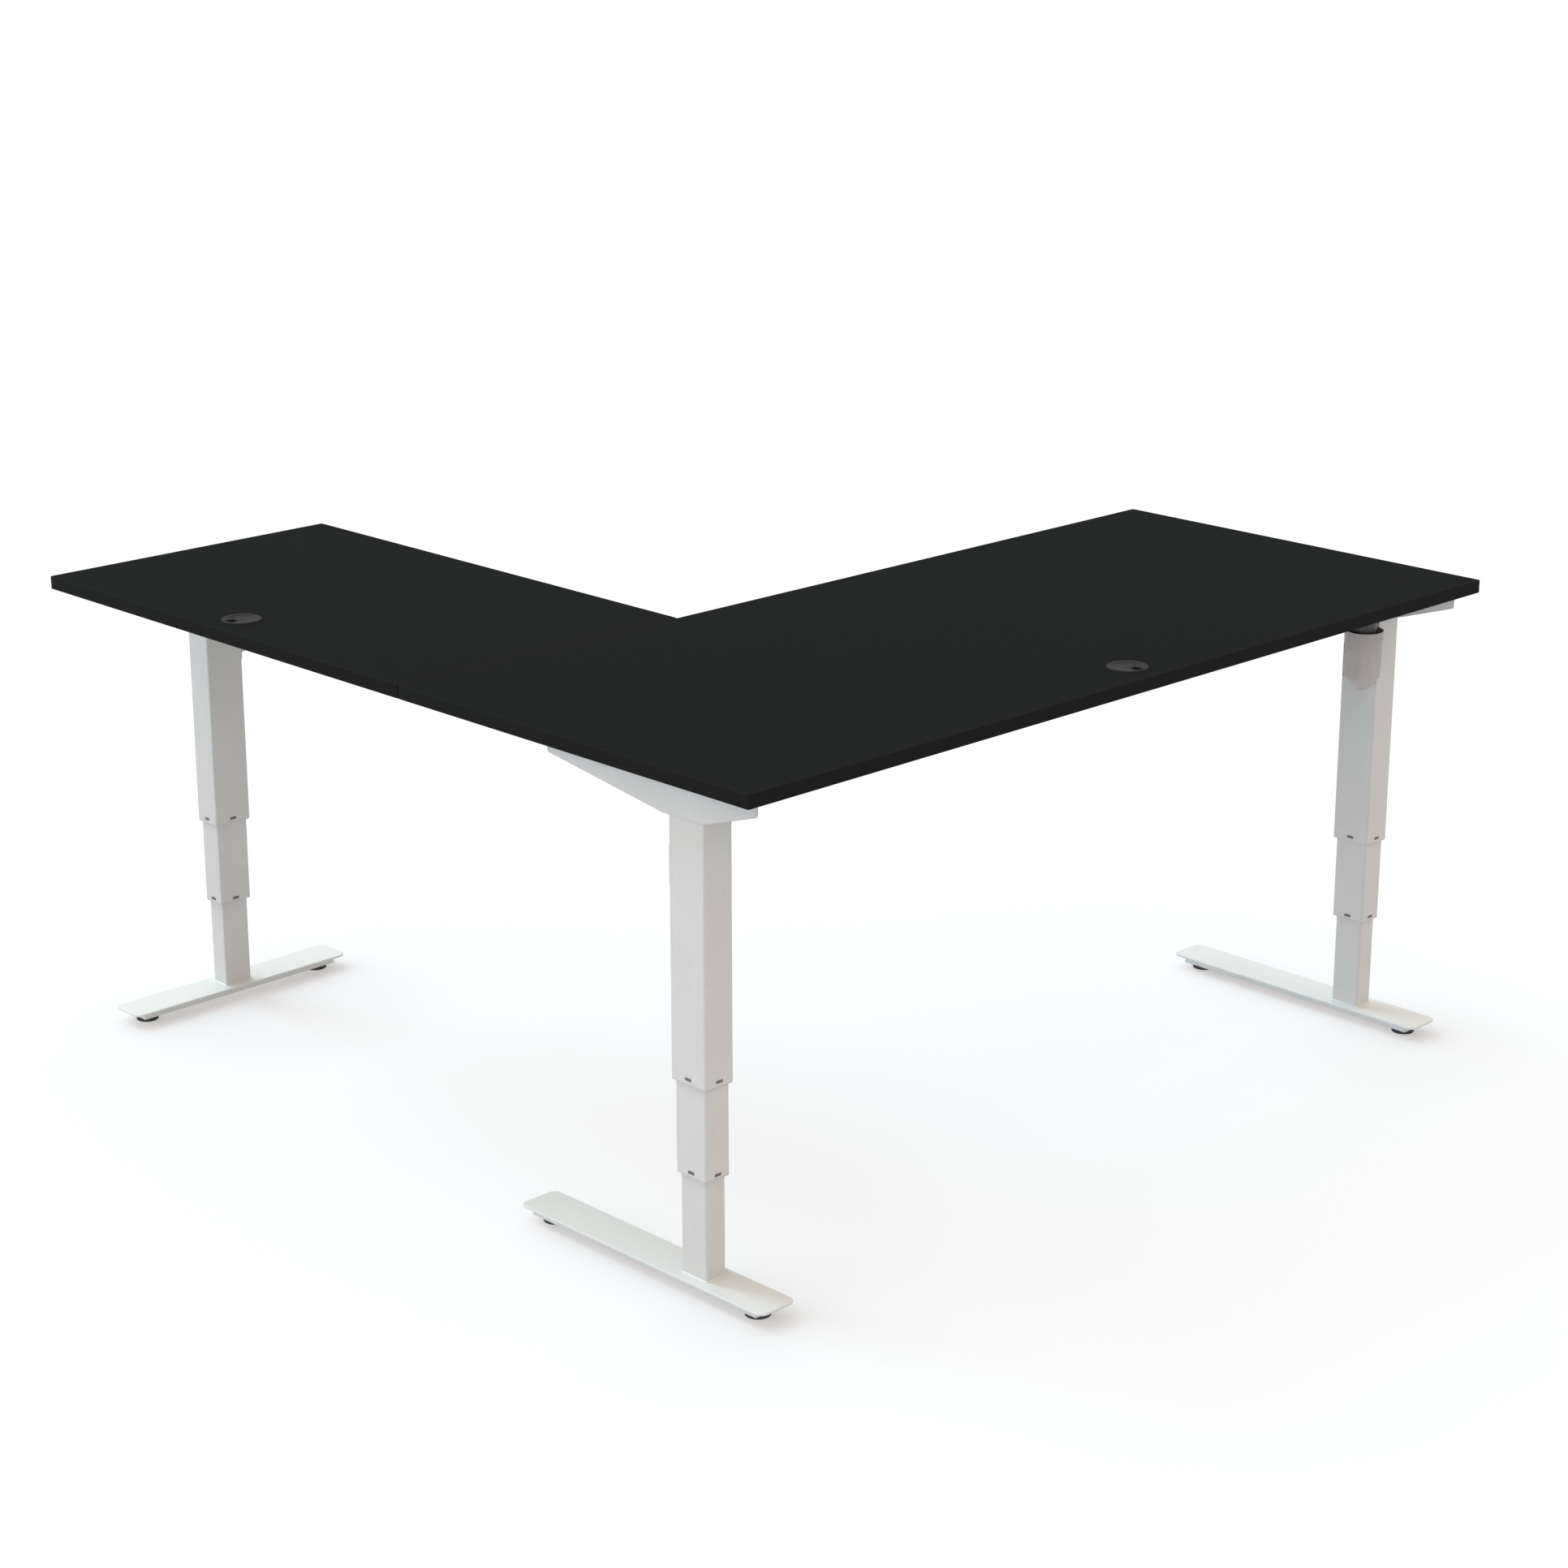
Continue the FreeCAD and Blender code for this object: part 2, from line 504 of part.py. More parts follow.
# ---- gearbox on the tube's head, motor hanging from it, cover round the motor ----
def drive(leg):
    mx, my = leg.motor
    reach = math.hypot(mx, my)
    body = block(0, 0, OUTER[0], OUTER[1], head_z, flange_z, TUBE_R)
    bridge = box(0, reach, -GEAR_BRIDGE / 2, GEAR_BRIDGE / 2, head_z, flange_z)
    bridge.rotate(FreeCAD.Vector(0, 0, 0), up, math.degrees(math.atan2(my, mx)))
    body = body.fuse([bridge, cyl(GEAR_R, head_z, flange_z, mx, my)]).removeSplitter()
    body = body.cut(cyl(SPINDLE_R + SLIDE_GAP, head_z - 1, head_z + SPINDLE_SEAT + SLIDE_GAP))
    keep = box(-DESK_W, DESK_W, -DESK_W, DESK_W, 0, DESK_H)
    keep.translate(FreeCAD.Vector(leg.web * (OUTER[0] / 2 - DESK_W), 0, 0))
    body = body.common(keep)

    rim, shoulder, nose = DESK_H - RIM_DROP, DESK_H - SHOULDER_DROP, DESK_H - NOSE_DROP
    tail = shoulder + MOTOR_END_GAP
    motor = cyl(MOTOR_R, tail, head_z, mx, my)
    motor = motor.makeChamfer(MOTOR_CHAMFER, [
        e for e in motor.Edges if e.BoundBox.ZMax < tail + 0.1])
    plug = box(-PLUG[0] / 2, PLUG[0] / 2, 0, MOTOR_R + PLUG[1] / 2, head_z - PLUG[2], head_z)
    plug.rotate(FreeCAD.Vector(0, 0, 0), up, leg.face + 90)
    plug.translate(FreeCAD.Vector(mx, my, 0))
    motor = motor.fuse(plug).removeSplitter()

    # cover: a drafted cup with four flats low down and a coned nose
    turned = [(0, nose), (COVER_NOSE_R, nose), (COVER_LOW_R, shoulder), (COVER_RIM_R, rim),
              (0, rim)]
    outside = Part.Face(Part.makePolygon(
        [FreeCAD.Vector(r, 0, z) for r, z in turned + turned[:1]])).revolve(
            FreeCAD.Vector(0, 0, 0), up, 360)
    crown = DESK_H - FLAT_DROP
    flat_w = COVER_LOW_R
    for k in range(4):
        arch = box(FLAT_APOTHEM, 2 * COVER_RIM_R, -flat_w / 2, flat_w / 2, nose - 1, crown)
        arch = arch.makeFillet((flat_w - FLAT_TOP) / 2, edges_along(
            arch, 0, lambda p: abs(p.z - crown) < 0.1))
        arch.rotate(FreeCAD.Vector(0, 0, 0), up, 90 * k)
        outside = outside.cut(arch)
    narrow_bore, wide_bore = FLAT_APOTHEM - COVER_WALL, COVER_RIM_R - COVER_WALL
    hollowed = [(0, nose + COVER_WALL), (COVER_NOSE_R - COVER_WALL / 2, nose + COVER_WALL),
                (narrow_bore, shoulder), (narrow_bore, crown), (wide_bore, crown + BORE_LEAN),
                (wide_bore, rim + 1), (0, rim + 1)]
    inside = Part.Face(Part.makePolygon(
        [FreeCAD.Vector(r, 0, z) for r, z in hollowed + hollowed[:1]])).revolve(
            FreeCAD.Vector(0, 0, 0), up, 360)

    # back plate flat on the column face that looks toward `face`, ribbed out to the cup
    thick, margin, top_drop, foot_drop = BACK_PLATE
    half, depth = (OUTER[1] / 2, OUTER[0] / 2) if leg.face == 180 else (OUTER[0] / 2, OUTER[1] / 2)
    centre = FreeCAD.Rotation(up, -leg.face).multVec(FreeCAD.Vector(mx, my, 0))
    plate = box(depth, depth + thick, -half + margin, half - margin,
                DESK_H - foot_drop, DESK_H - top_drop)
    rib_limit = half - margin - BACK_RIB_W / 2
    rib_y = max(-rib_limit, min(rib_limit, centre.y))
    rib = box(depth, centre.x, rib_y - BACK_RIB_W / 2, rib_y + BACK_RIB_W / 2,
              shoulder, DESK_H - top_drop)
    back = plate.fuse(rib)
    outside.translate(centre)
    inside.translate(centre)
    cover = outside.fuse(back).cut(inside)
    cover.rotate(FreeCAD.Vector(0, 0, 0), up, leg.face)
    return {"gearbox": body, "motor": motor, "motor_cover": cover}


# ---- feet ----
def foot(leg):
    back, front = leg.foot
    low = FOOT_TOP - FOOT_T
    plate = block(0, (front - back) / 2, FOOT_W, front + back, low, FOOT_TOP, FOOT_R)
    plate = plate.makeFillet(FOOT_EDGE_R, [
        e for e in plate.Edges if abs(e.BoundBox.ZMin - e.BoundBox.ZMax) < 0.01])
    rib = box(-RIB_W / 2, RIB_W / 2, -back + RIB_INSET, front - RIB_INSET, low - RIB_H, low)
    rib = rib.makeFillet(RIB_R, edges_along(rib, 1, lambda p: p.z < low - 1))
    rib = rib.cut(box(-RIB_W / 2 + RIB_WALL, RIB_W / 2 - RIB_WALL, -back + RIB_INSET + RIB_WALL,
                      front - RIB_INSET - RIB_WALL, low - RIB_H - 1, low))
    body = plate.fuse(rib)
    pads = {"a": -back + PAD_INSET, "b": front - PAD_INSET}
    bore = STUD_D / 2 + STUD_GAP
    for y in pads.values():
        body = body.fuse(cyl(STUD_BOSS_D / 2, low - RIB_H, low, 0, y)).cut(
            cyl(bore, low - RIB_H - 1, PAD_H + STUD_LEN + 1, 0, y))
    parts = {"foot": body.removeSplitter()}
    for key, y in pads.items():
        pad = cyl(PAD_D / 2, 0, PAD_H, 0, y)
        pad = pad.makeChamfer(PAD_CHAMFER, [e for e in pad.Edges if e.BoundBox.ZMin > PAD_H - 0.1])
        parts["leveller_" + key] = pad.fuse(cyl(STUD_D / 2, PAD_H, PAD_H + STUD_LEN, 0, y))
    return parts


for leg in LEGS:
    for group in (column(leg), drive(leg), foot(leg)):
        for piece, shape in group.items():
            save(leg.name + "_" + piece, leg.place(shape))


# ---- control box: a tray screwed up to the board, a lid below, a block of sockets ----
case_z = board_z - CASE[2]
case = block(case_x, case_y, CASE[0], CASE[1], case_z, board_z, CASE_R)
ears = bar(0, case_y, CASE_EAR[1], board_z - CASE_EAR[2], board_z,
           case_x - CASE[0] / 2 - CASE_EAR[0], case_x + CASE[0] / 2 + CASE_EAR[0])
case = case.fuse(ears).removeSplitter()
case = case.cut(box(case_x - CASE[0] / 2 + CASE_WALL, case_x + CASE[0] / 2 - CASE_WALL,
                    case_y - CASE[1] / 2 + CASE_WALL, case_y + CASE[1] / 2 - CASE_WALL,
                    case_z - 1, board_z - CASE_WALL - 1))
wall_y = case_y - CASE[1] / 2
block_low = case_z + LID_T + PORT_BLOCK_UP
block_z = (block_low, block_low + PORT_BLOCK[2])
window = box(case_x - PORT_BLOCK[0] / 2, case_x + PORT_BLOCK[0] / 2, wall_y - 1,
             wall_y + CASE_WALL + 1, block_z[0], block_z[1])
case = case.cut(window).cut([cyl(SCREW_D / 2, 0, DESK_H, x, y) for x, y, _ in case_screws])
save("control_case", case)
save("control_lid", box(case_x - CASE[0] / 2 + CASE_WALL, case_x + CASE[0] / 2 - CASE_WALL,
                        wall_y + CASE_WALL, wall_y + CASE[1] - CASE_WALL, case_z,
                        case_z + LID_T))
ports = box(case_x - PORT_BLOCK[0] / 2, case_x + PORT_BLOCK[0] / 2, wall_y,
            wall_y + PORT_BLOCK[1], block_z[0], block_z[1])
mid_z = (block_z[0] + block_z[1]) / 2
for k in range(PORT_COUNT):
    px = case_x - PORT_BLOCK[0] / 2 + PORT_FIRST + k * PORT_PITCH
    ports = ports.cut(box(px - PORT[0] / 2, px + PORT[0] / 2, wall_y - 1, wall_y + PORT_DEEP,
                          mid_z - PORT[1] / 2, mid_z + PORT[1] / 2))
inlet_x = case_x + PORT_BLOCK[0] / 2 - INLET[0] / 2 - INLET_IN
inlet = box(inlet_x - INLET[0] / 2, inlet_x + INLET[0] / 2, wall_y - 1, wall_y + PORT_DEEP,
            mid_z - INLET[1] / 2, mid_z + INLET[1] / 2)
ports = ports.cut(inlet.makeFillet(INLET_R, edges_along(inlet, 1, lambda p: p.z > mid_z)))
for s, pin_up in ((-1, 0.0), (0, PIN_STAGGER), (1, 0.0)):
    pin_x, pin_z = inlet_x + s * PIN_PITCH, mid_z + pin_up
    ports = ports.fuse(box(pin_x - PIN[0] / 2, pin_x + PIN[0] / 2, wall_y + PIN_SET_IN,
                           wall_y + PORT_DEEP, pin_z - PIN[1] / 2, pin_z + PIN[1] / 2))
save("control_sockets", ports)


# ---- handset: case with a display window and two sprung keys pressed toward the board ----
hz0, hz1 = board_z - HANDSET[2], board_z
hx0, hx1 = handset_x - HANDSET[0] / 2, handset_x + HANDSET[0] / 2
hy0 = handset_front - HANDSET[1]
mid_hz = (hz0 + hz1) / 2
shell = box(hx0, hx1, hy0, handset_front, hz0, hz1)
shell = shell.makeFillet(HANDSET_R, edges_along(shell, 0, lambda p: p.y > handset_front - 1)
                         + edges_along(shell, 2, lambda p: p.y > handset_front - 1))
tab_y = hy0 + HANDSET_TAB[0]
shell = shell.cut(box(hx0 + HANDSET_WALL, hx1 - HANDSET_WALL, tab_y + HANDSET_WALL,
                      handset_front - HANDSET_WALL, hz0 + HANDSET_WALL, hz1 - HANDSET_WALL))
shell = shell.cut(box(hx0 - 1, hx1 + 1, hy0 - 1, tab_y, hz0 - 1, board_z - HANDSET_TAB[1]))
pane = box(handset_x + DISPLAY_AT - DISPLAY[0] / 2, handset_x + DISPLAY_AT + DISPLAY[0] / 2,
           handset_front - DISPLAY[2], handset_front, mid_hz - DISPLAY[1] / 2,
           mid_hz + DISPLAY[1] / 2)
shell = shell.cut(pane)
shell = shell.cut([cyl(SCREW_D / 2, 0, DESK_H, x, y) for x, y, _ in handset_screws])
key_y = handset_front - HANDSET_WALL - KEY_FLANGE - KEY_GAP
for key_name, kx in zip(("up", "down"), KEY_AT):
    x = handset_x + kx
    hole = box(x - KEY[0] / 2 - KEY_GAP, x + KEY[0] / 2 + KEY_GAP,
               handset_front - HANDSET_WALL - 1, handset_front + 1,
               mid_hz - KEY[1] / 2 - KEY_GAP, mid_hz + KEY[1] / 2 + KEY_GAP)
    shell = shell.cut(hole)
    key = box(x - KEY[0] / 2, x + KEY[0] / 2, key_y, handset_front + KEY_TRAVEL,
              mid_hz - KEY[1] / 2, mid_hz + KEY[1] / 2)
    key = key.makeFillet(KEY_R, [e for e in key.Edges
                               if e.BoundBox.YMin > handset_front + KEY_TRAVEL - 0.01])
    out_x, out_z = KEY[0] / 2 + KEY_FLANGE_OUT, KEY[1] / 2 + KEY_FLANGE_OUT
    flange = box(x - out_x, x + out_x, key_y, key_y + KEY_FLANGE, mid_hz - out_z, mid_hz + out_z)
    save("handset_" + key_name, key.fuse(flange))
save("handset_case", shell)
save("handset_display", pane)
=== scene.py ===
import json
import math
import bmesh
import bpy
from mathutils import Matrix, Vector

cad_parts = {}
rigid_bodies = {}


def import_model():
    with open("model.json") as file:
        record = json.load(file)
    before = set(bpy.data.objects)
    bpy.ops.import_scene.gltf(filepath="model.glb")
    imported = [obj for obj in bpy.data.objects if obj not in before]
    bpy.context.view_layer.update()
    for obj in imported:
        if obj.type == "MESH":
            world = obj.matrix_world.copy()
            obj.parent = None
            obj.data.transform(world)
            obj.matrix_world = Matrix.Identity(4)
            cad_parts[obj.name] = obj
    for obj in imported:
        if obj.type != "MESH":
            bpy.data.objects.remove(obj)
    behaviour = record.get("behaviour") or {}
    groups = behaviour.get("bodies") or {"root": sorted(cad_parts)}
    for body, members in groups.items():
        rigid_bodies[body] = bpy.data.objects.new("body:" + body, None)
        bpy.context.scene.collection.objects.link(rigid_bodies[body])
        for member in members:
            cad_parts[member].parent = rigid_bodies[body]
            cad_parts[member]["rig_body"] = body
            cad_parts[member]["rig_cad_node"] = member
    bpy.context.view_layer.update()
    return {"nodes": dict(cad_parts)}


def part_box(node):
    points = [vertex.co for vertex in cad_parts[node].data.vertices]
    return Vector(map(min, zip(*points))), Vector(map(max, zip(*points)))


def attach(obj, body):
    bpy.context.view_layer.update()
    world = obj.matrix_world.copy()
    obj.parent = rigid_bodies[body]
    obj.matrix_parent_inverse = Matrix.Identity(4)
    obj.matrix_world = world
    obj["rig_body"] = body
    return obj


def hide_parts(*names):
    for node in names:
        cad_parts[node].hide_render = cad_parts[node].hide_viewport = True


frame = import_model()


# ---------------------------------------------------------------------------
# The three feet. Each is a 4 mm steel plate with rounded ends, welded to a folded
# stiffening channel and powder coated off-white; the column is welded on top.
# ---------------------------------------------------------------------------
LEGS = ("corner", "right", "left")


def add(tree, kind, inputs=None, **settings):
    """Adds a shader node; an input is given a value, or another node's output."""
    made = tree.nodes.new(kind)
    for key, value in settings.items():
        setattr(made, key, value)
    for key, value in (inputs or {}).items():
        if isinstance(value, bpy.types.NodeSocket):
            tree.links.new(value, made.inputs[key])
        else:
            made.inputs[key].default_value = value
    return made


def shared_effect(name, inputs, outputs):
    """A shader node group with named sockets, and the group's own input and output nodes."""
    group = bpy.data.node_groups.new(name, "ShaderNodeTree")
    for socket, kind in inputs:
        group.interface.new_socket(socket, in_out="INPUT", socket_type="NodeSocket" + kind)
    for socket in outputs:
        group.interface.new_socket(socket, in_out="OUTPUT", socket_type="NodeSocketFloat")
    return group, group.nodes.new("NodeGroupInput"), group.nodes.new("NodeGroupOutput")


# fine grain: the orange peel of a powder coat or the spark texture of a mould, as a
# height, and a change of tone in clouds a hand wide with small flecks in them
PIT_SHARE = 0.6                           # of the height, beside the peel's 1
CLOUDS, FLECKS = 9.0, 170.0               # in a metre
DARKEST, PALEST = 0.38, 0.62              # noise values that give the end tones
GRAIN, grain_in, grain_out = shared_effect(
    "fine grain", [("Point", "Vector"), ("Per Metre", "Float")], ["Height", "Tone"])
point, per_metre = grain_in.outputs["Point"], grain_in.outputs["Per Metre"]
peel = add(GRAIN, "ShaderNodeTexNoise", {"Vector": point, "Scale": per_metre, "Detail": 2.0})
pits = add(GRAIN, "ShaderNodeTexVoronoi", {"Vector": point, "Scale": per_metre},
           feature="SMOOTH_F1")
height = add(GRAIN, "ShaderNodeMath", {0: pits.outputs["Distance"], 1: PIT_SHARE,
                                       2: peel.outputs[0]}, operation="MULTIPLY_ADD")
cloud = add(GRAIN, "ShaderNodeTexNoise", {"Vector": point, "Scale": CLOUDS, "Detail": 4.0})
fleck = add(GRAIN, "ShaderNodeTexNoise", {"Vector": point, "Scale": FLECKS, "Detail": 2.0})
both = add(GRAIN, "ShaderNodeMix", {"Factor": 0.5, "A": cloud.outputs[0], "B": fleck.outputs[0]})
tone = add(GRAIN, "ShaderNodeMapRange", {"Value": both.outputs[0], "From Min": DARKEST,
                                         "From Max": PALEST})
GRAIN.links.new(height.outputs[0], grain_out.inputs["Height"])
GRAIN.links.new(tone.outputs[0], grain_out.inputs["Tone"])

# edge line: 1 along outer and inner edges, where a coat draws thin or a mould wears; the edge
# colour it carries is partly that wear and partly painted light: a painted highlight where a
# finish's edge colour is lighter, a painted shade where it is darker
FLAT_DOT, EDGE_DOT = 0.995, 0.90          # how far true and rounded normals agree
EDGE, edge_in, edge_out = shared_effect("edge line", [("Width", "Float")], ["Mask"])
rounded = add(EDGE, "ShaderNodeBevel", {"Radius": edge_in.outputs["Width"]}, samples=4)
flat = add(EDGE, "ShaderNodeNewGeometry")
agree = add(EDGE, "ShaderNodeVectorMath", {0: rounded.outputs[0], 1: flat.outputs["Normal"]},
            operation="DOT_PRODUCT")
line = add(EDGE, "ShaderNodeMapRange", {"Value": agree.outputs["Value"], "From Min": FLAT_DOT,
                                        "From Max": EDGE_DOT})
EDGE.links.new(line.outputs[0], edge_out.inputs["Mask"])


def blend(tree, factor, first, second):
    """The output of a mix of two colours, each of them a colour or another node's output."""
    mixed = tree.nodes.new("ShaderNodeMix")
    mixed.data_type = "RGBA"
    tree.links.new(factor, mixed.inputs["Factor"])
    colours = [socket for socket in mixed.inputs if socket.type == "RGBA"]
    for socket, value in zip(colours, (first, second)):
        if isinstance(value, bpy.types.NodeSocket):
            tree.links.new(value, socket)
        else:
            socket.default_value = value
    return [socket for socket in mixed.outputs if socket.type == "RGBA"][0]


def finish(name, light, dark, edge, roughness, grain, depth, edge_width=0.0012, metal=0.0,
           gloss=0.5, coat=0.0, glow=0.0):
    """A finish: tone between two colours, an edge colour, grain as bump, uneven roughness.
    grain is grains in a metre, depth the bump's height in metres."""
    made = bpy.data.materials.new(name)
    made.use_nodes = True
    tree = made.node_tree
    tree.nodes.clear()
    place = add(tree, "ShaderNodeTexCoord")
    texture = add(tree, "ShaderNodeGroup", node_tree=GRAIN)
    tree.links.new(place.outputs["Object"], texture.inputs["Point"])
    texture.inputs["Per Metre"].default_value = grain
    edge_wear_and_light = add(tree, "ShaderNodeGroup", node_tree=EDGE)
    edge_wear_and_light.inputs["Width"].default_value = edge_width
    body = blend(tree, texture.outputs["Tone"], (*dark, 1), (*light, 1))
    lined = blend(tree, edge_wear_and_light.outputs["Mask"], body, (*edge, 1))
    rough = add(tree, "ShaderNodeMapRange", {"Value": texture.outputs["Tone"],
                                             "To Min": roughness[0], "To Max": roughness[1]})
    bump = add(tree, "ShaderNodeBump", {"Strength": 1.0, "Distance": depth,
                                        "Height": texture.outputs["Height"]})
    shader = add(tree, "ShaderNodeBsdfPrincipled", {
        "Roughness": rough.outputs[0], "Metallic": metal, "Specular IOR Level": gloss,
        "Coat Weight": coat, "Coat Roughness": 0.2, "Normal": bump.outputs[0],
        "Emission Color": (*light, 1), "Emission Strength": glow})
    tree.links.new(lined, shader.inputs["Base Color"])
    add(tree, "ShaderNodeOutputMaterial", {"Surface": shader.outputs[0]})
    return made


def dress(node, material):
    """Gives a frame node a better finish on its own slots."""
    for held in frame["nodes"][node].material_slots:
        held.material = material


# its darker, warmer edge colour paints a thin line of shade along the edges of tubes, arms, beams
# and straps
POWDER = finish("off-white powder coat", light=(0.66, 0.66, 0.645), dark=(0.625, 0.625, 0.61),
                edge=(0.47, 0.44, 0.42), roughness=(0.30, 0.38), grain=900, depth=0.00003,
                edge_width=0.0035)
# the same off-white coat as the columns, painted lighter and mint-tinted for the light that falls
# on the feet's tops; its darker, warmer edge colour is painted shade
LIT_FOOT_POWDER = finish("foot powder coat with painted light", light=(0.745, 0.785, 0.775), dark=(0.715, 0.755, 0.745),
                     edge=(0.48, 0.45, 0.43), roughness=(0.34, 0.42), grain=500, depth=0.000008,
                     edge_width=0.0012)
for leg in LEGS:
    dress(leg + "_foot", LIT_FOOT_POWDER)


# ---------------------------------------------------------------------------
# Levelling pads, two under each foot: a moulded charcoal disc with finger ribs round its
# rim, over a zinc-plated M8 stud whose hexagon sits on top of the disc.
# ---------------------------------------------------------------------------
def pick_up(*objects):
    """Selects these objects alone; the last one is active."""
    if bpy.context.mode != "OBJECT":
        bpy.ops.object.mode_set(mode="OBJECT")
    bpy.ops.object.select_all(action="DESELECT")
    for o in objects:
        o.select_set(True)
    bpy.context.view_layer.objects.active = objects[-1]


def into(obj):
    """Opens a piece for editing, with all of it selected."""
    pick_up(obj)
    bpy.ops.object.mode_set(mode="EDIT")
    bpy.ops.mesh.select_all(action="SELECT")


def choose(kind, test):
    """While editing, selects only the faces or edges that pass the test."""
    bpy.ops.mesh.select_mode(type=kind)
    bpy.ops.mesh.select_all(action="DESELECT")
    held = bpy.context.edit_object.data
    mesh = bmesh.from_edit_mesh(held)
    mesh.normal_update()
    for item in (mesh.faces if kind == "FACE" else mesh.edges):
        if test(item):
            item.select_set(True)
    mesh.select_flush_mode()
    bmesh.update_edit_mesh(held)


def middle_of(face):
    return face.calc_center_median()


def sector(face, count, x=0.0, y=0.0):
    """Which of so many equal sectors round an upright axis a face is in."""
    spot = middle_of(face)
    return int(math.degrees(math.atan2(spot.y - y, spot.x - x)) % 360 / (360 / count))


def turned(outline, centre=(0.0, 0.0), steps=48, ring=False):
    """A turned piece from (radius, height) pairs: a disc drawn up, in and out along the
    outline. A ring's outline comes back to its start, and leaves a bore."""
    x, y = centre
    first_r, first_z = outline[0]
    bpy.ops.object.select_all(action="DESELECT")
    bpy.ops.mesh.primitive_circle_add(vertices=steps, radius=first_r, location=(x, y, first_z),
                                      fill_type="NOTHING" if ring else "NGON")
    obj = bpy.context.active_object
    into(obj)
    for (r0, z0), (r1, z1) in zip(outline, outline[1:]):
        bpy.ops.mesh.extrude_region_move(TRANSFORM_OT_translate={"value": (0, 0, z1 - z0)})
        bpy.ops.transform.resize(value=(r1 / r0, r1 / r0, 1), center_override=(x, y, z1))
    bpy.ops.mesh.select_all(action="SELECT")
    bpy.ops.mesh.remove_doubles(threshold=0.000005)
    bpy.ops.mesh.normals_make_consistent(inside=False)
    bpy.ops.object.mode_set(mode="OBJECT")
    return obj


def settle(obj, name, body, material=None, stands_for=(), smooth=35):
    """Ends a piece: its place goes into its mesh, then come its finish, body and the
    nodes that it stands for."""
    pick_up(obj)
    bpy.ops.object.transform_apply(location=True, rotation=True, scale=True)
    bpy.ops.object.shade_smooth_by_angle(angle=math.radians(smooth))
    obj.name = name
    obj.data.name = name
    if material is not None:
        obj.data.materials.clear()
        obj.data.materials.append(material)
    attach(obj, body)
    if stands_for:
        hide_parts(*stands_for)


def another(obj, move=(0, 0, 0), turn=0.0, axis="Z", about=(0, 0, 0)):
    """A copy with its own mesh, turned about a point and then moved."""
    pick_up(obj)
    bpy.ops.object.duplicate(linked=False)
    copy = bpy.context.active_object
    pivot = Matrix.Translation(about)
    copy.matrix_world = (Matrix.Translation(move) @ pivot
                         @ Matrix.Rotation(math.radians(turn), 4, axis)
                         @ pivot.inverted() @ copy.matrix_world)
    bpy.ops.object.transform_apply(location=True, rotation=True, scale=True)
    return copy


def joined(pieces):
    """Several pieces made into one, which is the last of them."""
    pick_up(*pieces)
    bpy.ops.object.join()
    return pieces[-1]


def throw_away(*objects):
    for o in objects:
        bpy.data.objects.remove(o)


def middle(node):
    low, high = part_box(node)
    return (low + high) / 2


def threads(radius, root, low, high, pitch):
    """(radius, height) pairs of thread ridges from low to high."""
    pairs = []
    z = low
    while z + pitch < high:
        pairs += [(root, z), (radius, z + 0.35 * pitch), (radius, z + 0.5 * pitch),
                  (root, z + 0.85 * pitch)]
        z += pitch
    return pairs + [(root, high)]


PAD_R, PAD_H = 0.0205, 0.008
PAD_RIBS, PAD_RIB_DEEP = 36, 0.0008
STUD_R, STUD_ROOT, STUD_PITCH = 0.0040, 0.0034, 0.00125
PAD = finish("charcoal moulded pad", light=(0.035, 0.036, 0.039), dark=(0.024, 0.025, 0.027),
             edge=(0.06, 0.06, 0.063), roughness=(0.5, 0.65), grain=1400, depth=0.00005)
ZINC = finish("bright zinc plate", light=(0.60, 0.61, 0.63), dark=(0.46, 0.47, 0.50),
              edge=(0.72, 0.72, 0.72), roughness=(0.22, 0.38), grain=700, depth=0.00002,
              metal=1.0, edge_width=0.0003)

pad_disc = turned([(0.0155, 0.0008), (0.0175, 0.0), (0.0198, 0.0), (PAD_R, 0.0007),
                   (PAD_R, 0.0058), (0.0198, 0.0068), (0.0188, 0.0076), (0.0180, PAD_H),
                   (0.0110, PAD_H), (0.0102, 0.0074), (0.0075, 0.0074), (0.0070, PAD_H)],
                  steps=2 * PAD_RIBS)
into(pad_disc)
choose("FACE", lambda f: abs(f.normal.z) < 0.1 and middle_of(f).xy.length > 0.0198
       and sector(f, 2 * PAD_RIBS) % 2 == 0)
bpy.ops.mesh.inset(thickness=0.0003, depth=-PAD_RIB_DEEP, use_individual=True)
bpy.ops.object.mode_set(mode="OBJECT")

hexagon = turned([(0.0062, 0.0080), (0.0072, 0.0083), (0.0072, 0.0094), (0.0062, 0.0097)],
                 steps=6)
thread = turned([(0.0036, 0.0079), (0.0036, 0.0098)]
                + threads(STUD_R, STUD_ROOT, 0.0100, 0.0203, STUD_PITCH) + [(0.0028, 0.0205)],
                steps=32)
stud = joined([hexagon, thread])

for leg in LEGS:
    for end in "ab":
        node = leg + "_leveller_" + end
        spot = middle(node)
        at = (spot.x, spot.y, 0)
        settle(another(pad_disc, at), leg + "_pad_" + end, leg + "_pad_" + end,
               PAD, [node])
        settle(another(stud, at), leg + "_stud_" + end, leg + "_pad_" + end, ZINC)
throw_away(pad_disc, stud)


